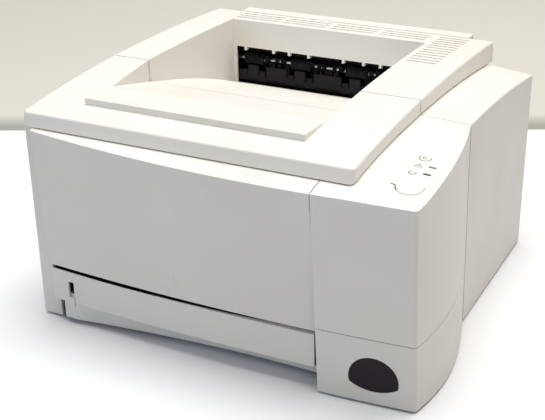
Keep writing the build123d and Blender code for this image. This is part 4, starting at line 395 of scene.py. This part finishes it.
def vane(y, x0, x1):
    """Slat within a slot: it falls from near the slot's rear lip to its front wall."""
    top = lid_height(y) - VANE_TOP
    front, back = y - VANE_TUCK, y + LOUVRE_WIDTH + VANE_TUCK
    outline = [(back, top), (back, top - VANE_THICK),
               (front, top - VANE_DROP - VANE_THICK), (front, top - VANE_DROP)]
    return carried(outline, x0, x1)


vane_parts = [vane(y, LOUVRE_LEFT - VANE_TAIL, LOUVRE_RIGHT + VANE_TAIL) for y in LOUVRE_YS]
for y in LOUVRE_YS[LOUVRE_YS > STRIP_FRONT_Y]:
    for k in range(STRIPS):
        start = STRIP_START + STRIP_PITCH * k
        vane_parts.append(vane(y, start - VANE_TAIL, start + STRIP_LENGTH + VANE_TAIL))
vanes = lofted("louvre_vanes", vane_parts)
vanes.data.materials.append(shell)
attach(vanes, "chassis")

# Output rollers
# Four moulded rubber tyres pressed on a ground steel shaft. Ten fine ridges round each one
# grip the sheet and give it some stiffness as it leaves. Their flat ends meet the shaft.

EXIT_Y, EXIT_Z = 161.4 * MM, 176.0 * MM
TYRE_CENTRES = np.array([-92.7, -33.7, 33.7, 92.7]) * MM
TYRE_WIDTH = 24.0 * MM
TYRE_R = 6.7 * MM
TYRE_GROOVE = 0.9 * MM
TYRE_RIDGES = 10
RIDGE_SHARPNESS = 0.6
SHAFT_R = 3.0 * MM
TYRE_BORE_R = SHAFT_R + 0.1 * MM
# Darker than real black rubber: painted shade for the tyres deep in the slot, shared by all rubber.
RUBBER_BLACK_AND_SHADE = (0.009, 0.009, 0.010)
RUBBER_DUSTY = (0.024, 0.023, 0.026)
RUBBER_ROUGH = 0.78
RUBBER_SPREAD = 0.1
RUBBER_SPECULAR = 0.2
TOOTH_CELLS = 2200.0


def tyre(x, steps=121, around=48):
    """Roller turned about X: the radius falls from each ridge to its groove by a raised
    cosine of the place along the width, and the ends step in to the shaft."""
    along = np.linspace(-0.5, 0.5, steps)
    wave = 0.5 - 0.5 * np.cos(2 * np.pi * TYRE_RIDGES * (along + 0.5))
    radius = TYRE_R - TYRE_GROOVE * (1 - wave ** RIDGE_SHARPNESS)
    place = x + along * TYRE_WIDTH
    radius = np.concatenate([[TYRE_BORE_R], radius, [TYRE_BORE_R]])
    place = np.concatenate([place[:1], place, place[-1:]])
    turn = np.linspace(0, 2 * np.pi, around, endpoint=False)
    y = EXIT_Y + radius[:, None] * np.cos(turn)
    z = EXIT_Z + radius[:, None] * np.sin(turn)
    return np.stack([np.repeat(place[:, None], around, axis=1), y, z], axis=-1)


def rubbery(name, colour, dusty, roughness):
    """Rubber: dark tint with a bloom of paper dust, matt, with a fine moulded tooth."""
    material, net, shader, place = shader_net(name)
    tint = ramp(net, noise(net, place, 90.0, 4.0), 0.35, 0.75, colour, dusty)
    net.links.new(tint, shader.inputs["Base Color"])
    bloom = noise(net, place, 60.0)
    roughen(net, shader, bloom, 0.3, 0.7, roughness - RUBBER_SPREAD, roughness + RUBBER_SPREAD)
    adjust(material, "Specular IOR Level", RUBBER_SPECULAR)
    bump(net, shader, noise(net, place, TOOTH_CELLS, 2.0), 0.3, 0.0001)
    return material


tyre_rubber = rubbery("tyre_rubber", RUBBER_BLACK_AND_SHADE, RUBBER_DUSTY, RUBBER_ROUGH)
tyres = lofted("exit_tyres", [tyre(PATH_X + x) for x in TYRE_CENTRES])
tyres.data.materials.append(tyre_rubber)
smooth(tyres)
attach(tyres, "exit_drive")
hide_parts("exit_rollers")
dress(tyre_rubber, "exit_rollers", "pickup_roller", "hand_feed_roller", "register_roller")
dress(tyre_rubber, "pressure_roller", "rubber_feet")

# Shafts, gears and sheet metal
# Shafts are ground bright, and the frames are zinc-plated steel from a press. The gears
# are moulded in natural acetal, a milky plastic that a little grease has darkened.

STEEL_BRIGHT = (0.60, 0.60, 0.61)
STEEL_GREY = (0.46, 0.46, 0.47)
ZINC_PALE = (0.52, 0.53, 0.54)
ZINC_BLUE = (0.40, 0.41, 0.43)
ACETAL = (0.74, 0.72, 0.66)
ACETAL_GREASED = (0.55, 0.50, 0.40)
ACETAL_FINISH = (0.38, 500.0, 0.3)
SHAFT_ROUGH = 0.26
LATHE_STRETCH = (1, 0.04, 0.04)
ROLLED_STRETCH = (0.1, 1, 0.1)
ZINC_SMOOTH, ZINC_ROUGH = 0.34, 0.48


def turned_metal(name, bright, grey, roughness):
    """Ground bar: lathe lines from noise drawn out round the bar, soft dark stains."""
    material, net, shader, place = shader_net(name)
    shader.inputs["Metallic"].default_value = 1.0
    tint = ramp(net, noise(net, place, 40.0, 3.0), 0.35, 0.7, bright, grey)
    net.links.new(tint, shader.inputs["Base Color"])
    lines = noise(net, place, 900.0, 2.0, LATHE_STRETCH)
    roughen(net, shader, lines, 0.3, 0.7, roughness - 0.08, roughness + 0.1)
    bump(net, shader, lines, 0.12, 0.00004)
    return material


def plated_sheet(name, pale, blue):
    """Zinc-plated sheet: crystal patches of two greys and faint rolling lines."""
    material, net, shader, place = shader_net(name)
    shader.inputs["Metallic"].default_value = 0.9
    cells = net.nodes.new("ShaderNodeTexVoronoi")
    cells.inputs["Scale"].default_value = 130.0
    net.links.new(place, cells.inputs["Vector"])
    tone = net.nodes.new("ShaderNodeSeparateColor")
    net.links.new(cells.outputs["Color"], tone.inputs["Color"])
    tint = ramp(net, tone.outputs["Red"], 0.1, 0.9, pale, blue)
    net.links.new(tint, shader.inputs["Base Color"])
    roughen(net, shader, tone.outputs["Green"], 0.0, 1.0, ZINC_SMOOTH, ZINC_ROUGH)
    bump(net, shader, noise(net, place, 500.0, 2.0, ROLLED_STRETCH), 0.1, 0.00005)
    return material


shaft_steel = turned_metal("shaft_steel", STEEL_BRIGHT, STEEL_GREY, SHAFT_ROUGH)
dress(shaft_steel, "exit_shaft", "register_idler", "fuser_roller", "main_motor", "motor_pinion")
zinc_sheet = plated_sheet("zinc_sheet", ZINC_PALE, ZINC_BLUE)
dress(zinc_sheet, "base_pan", "left_frame", "right_frame", "cross_members")
dress(zinc_sheet, "lift_plate", "scanner_lid")
acetal = moulded("gear_acetal", ACETAL, ACETAL_GREASED, *ACETAL_FINISH)
dress(acetal, "main_gear", "exit_gear_idler")

# Toner cartridge, drum and transfer roller
# The cartridge is a black moulding with a ribbed hand rest on top; its drum is an
# aluminium tube with a blue-green light-sensitive coat, over a soft foam roller.

CARTRIDGE_BLACK = (0.030, 0.030, 0.033)
CARTRIDGE_GREY = (0.055, 0.055, 0.058)
CARTRIDGE_FINISH = (0.42, 1100.0, 0.3)
DRUM_TEAL = (0.030, 0.170, 0.190)
DRUM_DEEP = (0.020, 0.120, 0.145)
FOAM_BLACK = (0.035, 0.034, 0.036)
FOAM_GREY = (0.060, 0.058, 0.060)
FOAM_ROUGH = 0.9
RING_STRETCH = (1, 0.01, 0.01)
RIB_FIRST = 56.0 * MM
RIB_PITCH = 6.0 * MM
RIB_RISE = 1.3 * MM
RIB_HALF = 0.8 * MM
RIBS_A_SIDE = 10
HOPPER_FRONT_Y, HOPPER_FRONT_Z = -125.6 * MM, 182.0 * MM
HOPPER_BACK_Y, HOPPER_BACK_Z = -85.6 * MM, 186.0 * MM


def coated(name, tint, deep):
    """Polished coat on a tube: smooth, with faint rings where blades rub on it."""
    material, net, shader, place = shader_net(name)
    rings = noise(net, place, 160.0, 4.0, RING_STRETCH)
    net.links.new(ramp(net, rings, 0.3, 0.7, tint, deep), shader.inputs["Base Color"])
    roughen(net, shader, rings, 0.3, 0.7, 0.10, 0.24)
    adjust(material, "Coat Weight", 0.5)
    bump(net, shader, rings, 0.05, 0.00003)
    return material


def hopper_rib(x, steps=24, around=12):
    """Grip rib along the hopper's sloping top: its height rises and falls by a half sine
    of the place along its length, and its section is a rounded bar 1.6 mm wide."""
    share = np.linspace(0.06, 0.90, steps)
    y = HOPPER_FRONT_Y + share * (HOPPER_BACK_Y - HOPPER_FRONT_Y)
    base = HOPPER_FRONT_Z + share * (HOPPER_BACK_Z - HOPPER_FRONT_Z)
    height = RIB_RISE * np.sin(np.pi * np.linspace(0.04, 0.96, steps)) ** 0.35
    turn = np.linspace(0, 2 * np.pi, around, endpoint=False)
    rise = np.clip(0.45 + 0.75 * np.sin(turn), -0.2, 1.0)
    z = base[:, None] + height[:, None] * rise[None, :]
    across = np.broadcast_to(x + RIB_HALF * np.cos(turn), z.shape)
    return np.stack([across, np.repeat(y[:, None], around, axis=1), z], axis=-1)


cartridge_black = moulded("cartridge_black", CARTRIDGE_BLACK, CARTRIDGE_GREY, *CARTRIDGE_FINISH)
dress(cartridge_black, "toner_cartridge")
dress(coated("drum_coat", DRUM_TEAL, DRUM_DEEP), "drum")
foam = rubbery("transfer_foam", FOAM_BLACK, FOAM_GREY, FOAM_ROUGH)
dress(foam, "transfer_roller", "separation_pad")
rib_places = RIB_FIRST + RIB_PITCH * np.arange(RIBS_A_SIDE)
rib_parts = [hopper_rib(PATH_X + side * x) for side in (-1, 1) for x in rib_places]
ribs = lofted("cartridge_grip_ribs", rib_parts)
ribs.data.materials.append(cartridge_black)
smooth(ribs)
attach(ribs, "chassis")

# Fuser, scanner and fan
# Heat-proof black mouldings with glass in the resin, so they look greyer and rougher
# than the cartridge. The scanner's mirror is a polished six-sided aluminium block.

HEATPROOF_BLACK = (0.028, 0.027, 0.026)
HEATPROOF_GREY = (0.060, 0.056, 0.052)
HEATPROOF_FINISH = (0.58, 700.0, 0.35)
MIRROR_BRIGHT = (0.80, 0.81, 0.83)
MIRROR_GREY = (0.70, 0.71, 0.73)
MIRROR_ROUGH = 0.12
heatproof_black = moulded("heatproof_black", HEATPROOF_BLACK, HEATPROOF_GREY, *HEATPROOF_FINISH)
dress(heatproof_black, "fuser_frame", "scanner_housing", "fan_frame", "fan_rotor")
dress(turned_metal("mirror_face", MIRROR_BRIGHT, MIRROR_GREY, MIRROR_ROUGH), "polygon_mirror")

# Circuit boards
# Glass-epoxy sheets under a green solder mask with printed tracks. What stands on a board,
# such as chips, sockets and coils, is black on both sides of the sheet.

MASK_GREEN = (0.020, 0.115, 0.050)
TRACK_GREEN = (0.045, 0.190, 0.085)
PART_BLACK = (0.025, 0.025, 0.027)
PART_GREY = (0.11, 0.11, 0.12)
TRACK_CELLS = 210.0
SUPPLY_SHEET = (0.0, 14.9 * MM)
LOGIC_SHEET = (158.4 * MM, 160.2 * MM)
PANEL_SHEET = (0.0, 184.1 * MM)


def board(name, axis, low, high):
    """Board finish: brick-like tracks on green between two heights on one axis, dark
    mouldings beyond them. The change is a step of the distance from their middle."""
    material, net, shader, place = shader_net(name)
    split = net.nodes.new("ShaderNodeSeparateXYZ")
    net.links.new(place, split.inputs["Vector"])
    sheet = net.nodes.new("ShaderNodeMath")
    sheet.operation = "COMPARE"
    sheet.inputs[1].default_value = (low + high) / 2
    sheet.inputs[2].default_value = (high - low) / 2
    net.links.new(split.outputs[axis], sheet.inputs[0])
    tracks = net.nodes.new("ShaderNodeTexVoronoi")
    tracks.distance = "MANHATTAN"
    tracks.feature = "F1"
    tracks.inputs["Scale"].default_value = TRACK_CELLS
    net.links.new(place, tracks.inputs["Vector"])
    green = ramp(net, tracks.outputs["Distance"], 0.42, 0.50, MASK_GREEN, TRACK_GREEN)
    parts = ramp(net, noise(net, place, 120.0, 2.0), 0.45, 0.65, PART_BLACK, PART_GREY)
    net.links.new(blend(net, sheet.outputs["Value"], parts, green), shader.inputs["Base Color"])
    roughen(net, shader, noise(net, place, 80.0), 0.3, 0.7, 0.25, 0.45)
    bump(net, shader, tracks.outputs["Distance"], 0.15, 0.0001)
    return material


dress(board("supply_board", "Z", *SUPPLY_SHEET), "power_supply")
dress(board("logic_board", "X", *LOGIC_SHEET), "formatter_board")
dress(board("panel_board", "Z", *PANEL_SHEET), "control_board")

# Trays
# The cassette, the hand-feed liner and their sliding guides are moulded in a greyer
# white, with less grain, because sheets have to slide on them.

TRAY_WHITE = (0.66, 0.645, 0.61)
TRAY_RUBBED = (0.60, 0.58, 0.54)
TRAY_FINISH = (0.44, 1900.0, 0.35)
GAUGE_WHITE = (0.85, 0.84, 0.82)
GAUGE_AGED = (0.82, 0.80, 0.76)
GAUGE_FINISH = (0.4, 1900.0, 0.2)
tray_white = moulded("tray_white", TRAY_WHITE, TRAY_RUBBED, *TRAY_FINISH)
dress(tray_white, "cassette", "side_guide_left", "side_guide_right", "rear_stop")
dress(tray_white, "tray_door_liner", "tray_extension", "sheet_guide_left", "sheet_guide_right")
dress(moulded("gauge_white", GAUGE_WHITE, GAUGE_AGED, *GAUGE_FINISH), "paper_gauge")

# Infrared window
# A lens moulded in deep purple-black acrylic that only passes infrared light, polished
# and set flush in the column's foot.

WINDOW_PURPLE = (0.019, 0.009, 0.018)
WINDOW_BLACK = (0.012, 0.007, 0.012)
WINDOW_ROUGH = 0.16
WINDOW_SPECULAR = 0.15
WINDOW_COAT = 0.05
ACRYLIC_COAT = 0.3
HAIR_STRETCH = (0.2, 1, 2.4)


def acrylic(name, tint, deep, roughness):
    """Polished acrylic: deep tint, clear coat, hairline scratches."""
    material, net, shader, place = shader_net(name)
    clouds = noise(net, place, 30.0, 3.0)
    net.links.new(ramp(net, clouds, 0.3, 0.7, tint, deep), shader.inputs["Base Color"])
    hairs = noise(net, place, 260.0, 6.0, HAIR_STRETCH)
    roughen(net, shader, hairs, 0.55, 0.75, roughness, roughness + 0.15)
    adjust(material, "Coat Weight", ACRYLIC_COAT)
    bump(net, shader, hairs, 0.04, 0.00003)
    return material


window_acrylic = acrylic("window_acrylic", WINDOW_PURPLE, WINDOW_BLACK, WINDOW_ROUGH)
adjust(window_acrylic, "Specular IOR Level", WINDOW_SPECULAR)
adjust(window_acrylic, "Coat Weight", WINDOW_COAT)
dress(window_acrylic, "ir_window")

# Control panel
# Two tinted light pipes end flush in the panel beside three signs pad-printed in grey, a
# hair over the skin. On the real panel a fine slit frees the key's spring arm; here it is not
# cut but painted as a dark line of shade, a hair over the skin.

PIPE_GREEN = (0.105, 0.118, 0.085)
PIPE_RED = (0.300, 0.225, 0.215)
PIPE_DEEPER = 0.8
PIPE_ROUGH = 0.2
RAIL_X = 134.6 * MM
EDGE_X = 202.5 * MM
RAIL_CREST_Y, RAIL_CREST_Z = -45.6 * MM, 212.5 * MM
RAIL_FRONT_Y, RAIL_FRONT_Z = -206.0 * MM, 200.8 * MM
EDGE_CREST_Y, EDGE_CREST_Z = -35.6 * MM, 209.2 * MM
EDGE_FRONT_Y, EDGE_FRONT_Z = -199.6 * MM, 200.0 * MM
RAIL_CURVE = 2.6
INK_THICK = 0.09 * MM
INK_SINK = 0.04 * MM
INK_GREY = (0.20, 0.20, 0.19)
INK_PALE = (0.26, 0.26, 0.245)
SLIT_SHADE_DARK = (0.07, 0.07, 0.06)
SLIT_SHADE_GREY = (0.11, 0.11, 0.095)
KEY_X, KEY_Y = 177.0 * MM, -167.1 * MM
KEY_R = 11.9 * MM
ARM_X, ARM_Y = 159.0 * MM, -177.3 * MM
ARM_R = 10.6 * MM
ARM_LINE = 1.3 * MM
BEND_R = KEY_R + 0.15 * MM
BEND_LINE = 0.9 * MM
SIGN_X = 170.2 * MM
READY_X, READY_Y = SIGN_X - 0.4 * MM, -142.8 * MM
READY_R, READY_LINE = 3.1 * MM, 1.1 * MM
WARN_Y = -128.9 * MM
WARN_CORNERS = np.array([(-3.4, -2.4), (3.4, -2.4), (0, 3.2), (-3.4, -2.4)]) * MM
WARN_LINE = 0.75 * MM
STROKE_TOP, STROKE_FOOT = 1.2 * MM, 1.4 * MM
STROKE_LINE = 0.8 * MM
RING_X, RING_Y = SIGN_X + 0.6 * MM, -114.0 * MM
RING_R, CORE_R, CORE_RISE = 5.2 * MM, 2.1 * MM, 0.6 * MM
RING_LINE = 0.95 * MM


def rail_height(y):
    """Height of the rail beside the panel: it falls from its crest by a power of the
    distance forward."""
    share = (RAIL_CREST_Y - y) / (RAIL_CREST_Y - RAIL_FRONT_Y)
    return RAIL_CREST_Z - (RAIL_CREST_Z - RAIL_FRONT_Z) * share ** RAIL_CURVE


def panel_z(x, y):
    """Height of the panel: straight across between the rail and the outer edge, which
    falls from its crest by the square of the distance forward."""
    rail = rail_height(y)
    share = (EDGE_CREST_Y - y) / (EDGE_CREST_Y - EDGE_FRONT_Y)
    edge = EDGE_CREST_Z - (EDGE_CREST_Z - EDGE_FRONT_Z) * share ** 2
    return rail + (edge - rail) * (x - RAIL_X) / (EDGE_X - RAIL_X)


def ink_line(points, width):
    """Flat line on the panel along plan points: the section is a thin strip across the
    line's direction, its top a hair over the panel's height at each place."""
    points = np.asarray(points, float)
    ahead = np.gradient(points, axis=0)
    ahead /= np.linalg.norm(ahead, axis=1, keepdims=True)
    across = np.stack([-ahead[:, 1], ahead[:, 0]], axis=1) * width / 2
    sides = np.stack([points + across, points - across, points - across, points + across], axis=1)
    lift = np.array([INK_THICK, INK_THICK, 0, 0]) - INK_SINK
    z = panel_z(sides[..., 0], sides[..., 1]) + lift
    return np.concatenate([sides, z[..., None]], axis=-1)


def arc(x, y, radius, start, end, steps):
    """Plan points on part of a ring round a centre, angles in degrees."""
    turn = np.radians(np.linspace(start, end, steps))
    return np.stack([x + radius * np.cos(turn), y + radius * np.sin(turn)], axis=1)


def straight(points, steps=6):
    """Plan points spread along straight runs between corners."""
    points = np.asarray(points, float)
    runs = [np.linspace(a, b, steps, endpoint=False) for a, b in zip(points[:-1], points[1:])]
    return np.concatenate([*runs, points[-1:]])


def printed(name, ink, pale):
    """Pad-printed ink: one grey, worn paler in small patches."""
    material, net, shader, place = shader_net(name)
    wear = noise(net, place, 500.0, 3.0)
    net.links.new(ramp(net, wear, 0.4, 0.7, ink, pale), shader.inputs["Base Color"])
    roughen(net, shader, noise(net, place, 300.0), 0.3, 0.7, 0.45, 0.6)
    bump(net, shader, noise(net, place, 1800.0), 0.1, 0.00005)
    return material


stroke = [(SIGN_X, WARN_Y + STROKE_TOP), (SIGN_X, WARN_Y - STROKE_FOOT)]
marks = [
    ink_line(arc(READY_X, READY_Y, READY_R, 120, 395, 40), READY_LINE),
    ink_line(straight(WARN_CORNERS + (SIGN_X, WARN_Y)), WARN_LINE),
    ink_line(straight(stroke), STROKE_LINE),
    ink_line(arc(RING_X, RING_Y, RING_R, 150, 390, 48), RING_LINE),
    ink_line(arc(RING_X, RING_Y + CORE_RISE, CORE_R, 60, 330, 32), RING_LINE),
]
arm_line = ink_line(arc(ARM_X, ARM_Y, ARM_R, 84, 44, 12), ARM_LINE)
bend_line = ink_line(arc(KEY_X, KEY_Y, BEND_R, 184, 222, 18), BEND_LINE)
signs = lofted("panel_signs", marks)
signs.data.materials.append(printed("panel_ink", INK_GREY, INK_PALE))
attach(signs, "chassis")
# The slit is not cut: a dark line with the ink finish paints its shade.
hinge_line = lofted("key_slit_shade", [arm_line, bend_line])
hinge_line.data.materials.append(printed("slit_shadow", SLIT_SHADE_DARK, SLIT_SHADE_GREY))
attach(hinge_line, "chassis")
for name, tint, node in (("pipe_green", PIPE_GREEN, "ready_light"),
                         ("pipe_red", PIPE_RED, "error_light")):
    deep = tuple(PIPE_DEEPER * c for c in tint)
    dress(acrylic(name, tint, deep, PIPE_ROUGH), node)

# Thumb ridges on the front tray
# Three soft ridges show where to pull the tray door open. They are moulded in one with its
# top edge, of the same plastic.

RIDGE_HALF = 17.0 * MM
RIDGE_X = 52.0 * MM
RIDGE_YS = np.array([-195.0, -192.0, -189.0]) * MM
RIDGE_RISE = 0.55 * MM
RIDGE_SIDE = 0.9 * MM
RIDGE_FADE = 0.4


def thumb_ridge(y, steps=32, around=14):
    """Low ridge across the door: a half-round section on the rail's height, which fades to
    the ends by a power of a sine of the place along it."""
    along = np.linspace(0, 1, steps)
    x = RIDGE_X + (2 * along - 1) * RIDGE_HALF
    swell = np.sin(np.pi * np.clip(along, 0.02, 0.98)) ** RIDGE_FADE
    turn = np.linspace(0, 2 * np.pi, around, endpoint=False)
    across = y + RIDGE_SIDE * np.cos(turn)[None, :] * swell[:, None]
    lift = RIDGE_RISE * swell[:, None] * np.clip(np.sin(turn), -0.4, 1)[None, :]
    z = rail_height(across) + lift
    return np.stack([np.repeat(x[:, None], around, axis=1), across, z], axis=-1)


ridges = lofted("thumb_ridges", [thumb_ridge(y) for y in RIDGE_YS])
ridges.data.materials.append(shell)
smooth(ridges)
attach(ridges, "hand_tray")

# Sockets
# The mains inlet, its rocker switch and the data port sit in the back wall. The port's
# two rows of contacts are thin gilt blades on a tongue inside a black housing.

SOCKET_BLACK = (0.018, 0.018, 0.020)
SOCKET_WORN = (0.034, 0.034, 0.036)
SOCKET_FINISH = (0.36, 1200.0, 0.2)
GILT = (0.62, 0.46, 0.20)
GILT_DULL = (0.48, 0.36, 0.17)
GILT_ROUGH = 0.3
PORT_X = 152.5 * MM
PORT_LOW, PORT_HIGH = 100.0 * MM, 140.0 * MM
PORT_MOUTH_Y = 178.0 * MM
CONTACTS = 18
CONTACT_LENGTH = 7 * MM
CONTACT_OFFSET = 1.45 * MM
CONTACT_HALF_X, CONTACT_HALF_Z = 0.15 * MM, 0.45 * MM
CONTACT_CUT = 0.1 * MM
socket_black = moulded("socket_black", SOCKET_BLACK, SOCKET_WORN, *SOCKET_FINISH)
dress(socket_black, "power_inlet", "power_switch")
contact_z = np.linspace(PORT_LOW, PORT_HIGH, CONTACTS)
contact_sets = []
for side in (-1, 1):
    ends = []
    for end, y in ((-1, PORT_MOUTH_Y - CONTACT_LENGTH), (1, PORT_MOUTH_Y)):
        x = PORT_X + side * CONTACT_OFFSET + end * CONTACT_HALF_X
        z = contact_z + end * CONTACT_HALF_Z
        ends.append(np.stack([np.full(CONTACTS, x), np.full(CONTACTS, y), z], axis=1))
    contact_sets += blocks(*ends, CONTACT_CUT)
contacts = lofted("port_contacts", contact_sets)
contacts.data.materials.append(turned_metal("contact_gilt", GILT, GILT_DULL, GILT_ROUGH))
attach(contacts, "chassis")

# Screws
# Cross-recessed pan heads, zinc-plated: four hold the back panel to the frame and eight
# hold the side covers to the turned-up pan from below.

HEAD_R = 3.4 * MM
HEAD_RISE = 1.5 * MM
DOME_FALL = 0.55
RECESS_HALF = 0.55 * MM
RECESS_DEPTH = 0.9 * MM
RECESS_REACH = 0.62
BACK_FOOT_Y, BACK_FOOT_Z = 174.4 * MM, 2.5 * MM
BACK_SLOPE = 6.0 / 188.2
BACK_XS, BACK_ZS = (-165 * MM, 100 * MM), (16 * MM, 184 * MM)
UNDER_XS = (-190 * MM, -60 * MM, 60 * MM, 168 * MM)
UNDER_YS = (-130 * MM, 158 * MM)
PAN_UNDER_Z = 4.0 * MM


def screw_head(place, turn, rings=14, around=32):
    """Pan head about +Z turned into place: the height is a flat dome over the radius, less
    a cross recess that deepens where either plan ordinate is near the middle."""
    share = np.concatenate([[0.0], np.linspace(0.04, 1.0, rings)])
    angle = np.linspace(0, 2 * np.pi, around, endpoint=False) + np.pi / around
    x = HEAD_R * share[:, None] * np.cos(angle)
    y = HEAD_R * share[:, None] * np.sin(angle)
    dome = HEAD_RISE * (1 - DOME_FALL * share[:, None] ** 4) * np.ones_like(x)
    near = np.minimum(abs(x), abs(y)) / RECESS_HALF
    inside = np.clip((RECESS_REACH - share[:, None]) * 8, 0, 1)
    depth = RECESS_DEPTH * np.clip(1.3 - near, 0, 1) * inside
    top = np.stack([x, y, dome - depth], axis=-1)
    skirt = np.stack([x[-1:], y[-1:], np.zeros_like(x[-1:])], axis=-1)
    grid = np.concatenate([top, skirt])
    return grid @ np.array(turn).T + np.array(place)


def facing(direction):
    """Turn that takes +Z to a direction."""
    return Vector((0, 0, 1)).rotation_difference(Vector(direction)).to_matrix()


screw_zinc = turned_metal("screw_zinc", ZINC_PALE, ZINC_BLUE, ZINC_SMOOTH)
back_turn = facing((0, 1, -BACK_SLOPE))
back_places = [(x, BACK_FOOT_Y + BACK_SLOPE * (z - BACK_FOOT_Z), z)
               for x in BACK_XS for z in BACK_ZS]
back_screws = lofted("back_screws", [screw_head(place, back_turn) for place in back_places])
under_turn = facing((0, 0, -1))
under_places = [(x, y, PAN_UNDER_Z) for x in UNDER_XS for y in UNDER_YS]
under_screws = lofted("under_screws", [screw_head(place, under_turn) for place in under_places])
for screws in (back_screws, under_screws):
    screws.data.materials.append(screw_zinc)
    smooth(screws)
    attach(screws, "chassis")

# Studio
# A pale table top with a dark far edge and a grey wall beyond it, a broad soft light from
# above, weaker ones from front left and right, and a camera at the photograph's place.

CAMERA_PLACE = Vector((0.47723, -0.99762, 0.59928))
CAMERA_YAW, CAMERA_PITCH, CAMERA_ROLL = np.radians([27.127, 25.195, -1.126])
CAMERA_LENS = 78.47
SENSOR_WIDTH = 36.0
TABLE_HALF = 8
TABLE_END = 1.532
TABLE_WHITE = (0.93, 0.94, 0.96)
TABLE_TURN = np.radians(2.8)
TABLE_EDGE = 0.018
EDGE_FADE = 0.060
EDGE_GREY = (0.36, 0.37, 0.33)
WALL_GREY = (0.68, 0.67, 0.61)
TABLE_BOUNCE = (0.605, 0.605, 0.615)
TABLE_SHADE = 0.97
TABLE_ROUGH = 0.7
SKY_GREY = (0.93, 0.92, 0.93)
SKY_STRENGTH = 0.25
LIGHT_AIM = (0, 0, 0.1)
LIGHTS = {
    "top_light": ((0.28, 0.1, 3.4), 2.4, 131.0, (1.0, 0.98, 0.935)),
    "front_light": ((-1.4, -2.2, 1.2), 1.6, 10.5, (0.56, 0.74, 1.0)),
    "side_light": ((2.4, 0.9, 1.0), 1.4, 3.0, (1.0, 0.74, 0.74)),
}


def studio_floor():
    """Large flat sheet: a grid of two parameters at floor height."""
    span = np.linspace(-TABLE_HALF, TABLE_HALF, 9)
    x, y = np.meshgrid(span, span, indexing="ij")
    index = np.arange(x.size).reshape(x.shape)
    faces = np.stack([index[:-1, :-1], index[1:, :-1], index[1:, 1:], index[:-1, 1:]], axis=-1)
    corners = np.stack([x, y, np.zeros_like(x)], axis=-1).reshape(-1, 3)
    mesh = bpy.data.meshes.new("studio_floor")
    mesh.from_pydata(corners.tolist(), [], faces.reshape(-1, 4).tolist())
    floor = bpy.data.objects.new("studio_floor", mesh)
    bpy.context.scene.collection.objects.link(floor)
    return floor


def table_paint():
    """White up to a line across the view behind the printer, then a dark edge that fades
    into wall grey. The light it throws back up is that of a smaller table, so the
    printer's sides stay soft."""
    material, net, shader, place = shader_net("table_paint")
    mapping = net.nodes.new("ShaderNodeMapping")
    mapping.inputs["Rotation"].default_value = (0, 0, TABLE_TURN - CAMERA_YAW)
    net.links.new(place, mapping.inputs["Vector"])
    split = net.nodes.new("ShaderNodeSeparateXYZ")
    net.links.new(mapping.outputs["Vector"], split.inputs["Vector"])
    end = TABLE_END - CAMERA_PLACE.xy.length
    beyond = net.nodes.new("ShaderNodeMath")
    beyond.operation = "GREATER_THAN"
    beyond.inputs[1].default_value = end
    net.links.new(split.outputs["Y"], beyond.inputs[0])
    shaded = tuple(TABLE_SHADE * c for c in TABLE_WHITE)
    white = ramp(net, noise(net, place, 3.0), 0.3, 0.7, TABLE_WHITE, shaded)
    farther = net.nodes.new("ShaderNodeMapRange")
    farther.inputs["From Min"].default_value = end + TABLE_EDGE
    farther.inputs["From Max"].default_value = end + EDGE_FADE
    net.links.new(split.outputs["Y"], farther.inputs["Value"])
    edged = blend(net, farther.outputs["Result"], EDGE_GREY, WALL_GREY)
    seen = blend(net, beyond.outputs["Value"], white, edged)
    path = net.nodes.new("ShaderNodeLightPath")
    direct = path.outputs["Is Camera Ray"]
    for name in ("Is Glossy Ray", "Is Transmission Ray"):
        either = net.nodes.new("ShaderNodeMath")
        either.operation = "MAXIMUM"
        net.links.new(direct, either.inputs[0])
        net.links.new(path.outputs[name], either.inputs[1])
        direct = either.outputs["Value"]
    net.links.new(blend(net, direct, TABLE_BOUNCE, seen), shader.inputs["Base Color"])
    adjust(material, "Roughness", TABLE_ROUGH)
    return material


def soft_light(name, place, size, power, colour):
    """Square area lamp aimed at the printer."""
    data = bpy.data.lights.new(name, "AREA")
    data.size, data.energy, data.color = size, power, colour
    lamp = bpy.data.objects.new(name, data)
    lamp.location = place
    lamp.rotation_euler = (Vector(LIGHT_AIM) - Vector(place)).to_track_quat("-Z", "Y").to_euler()
    bpy.context.scene.collection.objects.link(lamp)


floor = studio_floor()
floor.data.materials.append(table_paint())
for name, (place, size, power, colour) in LIGHTS.items():
    soft_light(name, place, size, power, colour)
world = bpy.data.worlds.new("studio_world")
world.use_nodes = True
sky = world.node_tree.nodes["Background"]
sky.inputs["Color"].default_value = (*SKY_GREY, 1.0)
sky.inputs["Strength"].default_value = SKY_STRENGTH
bpy.context.scene.world = world

level_run = np.cos(CAMERA_PITCH)
back = Vector((np.sin(CAMERA_YAW) * level_run, -np.cos(CAMERA_YAW) * level_run,
               np.sin(CAMERA_PITCH)))
right = (-back).cross(Vector((0, 0, 1))).normalized()
up = right.cross(-back)
roll_cos, roll_sin = np.cos(CAMERA_ROLL), np.sin(CAMERA_ROLL)
axes = (roll_cos * right + roll_sin * up, roll_cos * up - roll_sin * right, back)
camera_data = bpy.data.cameras.new("studio_camera")
camera_data.lens = CAMERA_LENS
camera_data.sensor_width = SENSOR_WIDTH
camera = bpy.data.objects.new("studio_camera", camera_data)
camera.matrix_world = Matrix.Translation(CAMERA_PLACE) @ Matrix(axes).transposed().to_4x4()
bpy.context.scene.collection.objects.link(camera)
bpy.context.scene.camera = camera
bpy.context.scene.view_settings.view_transform = "Standard"
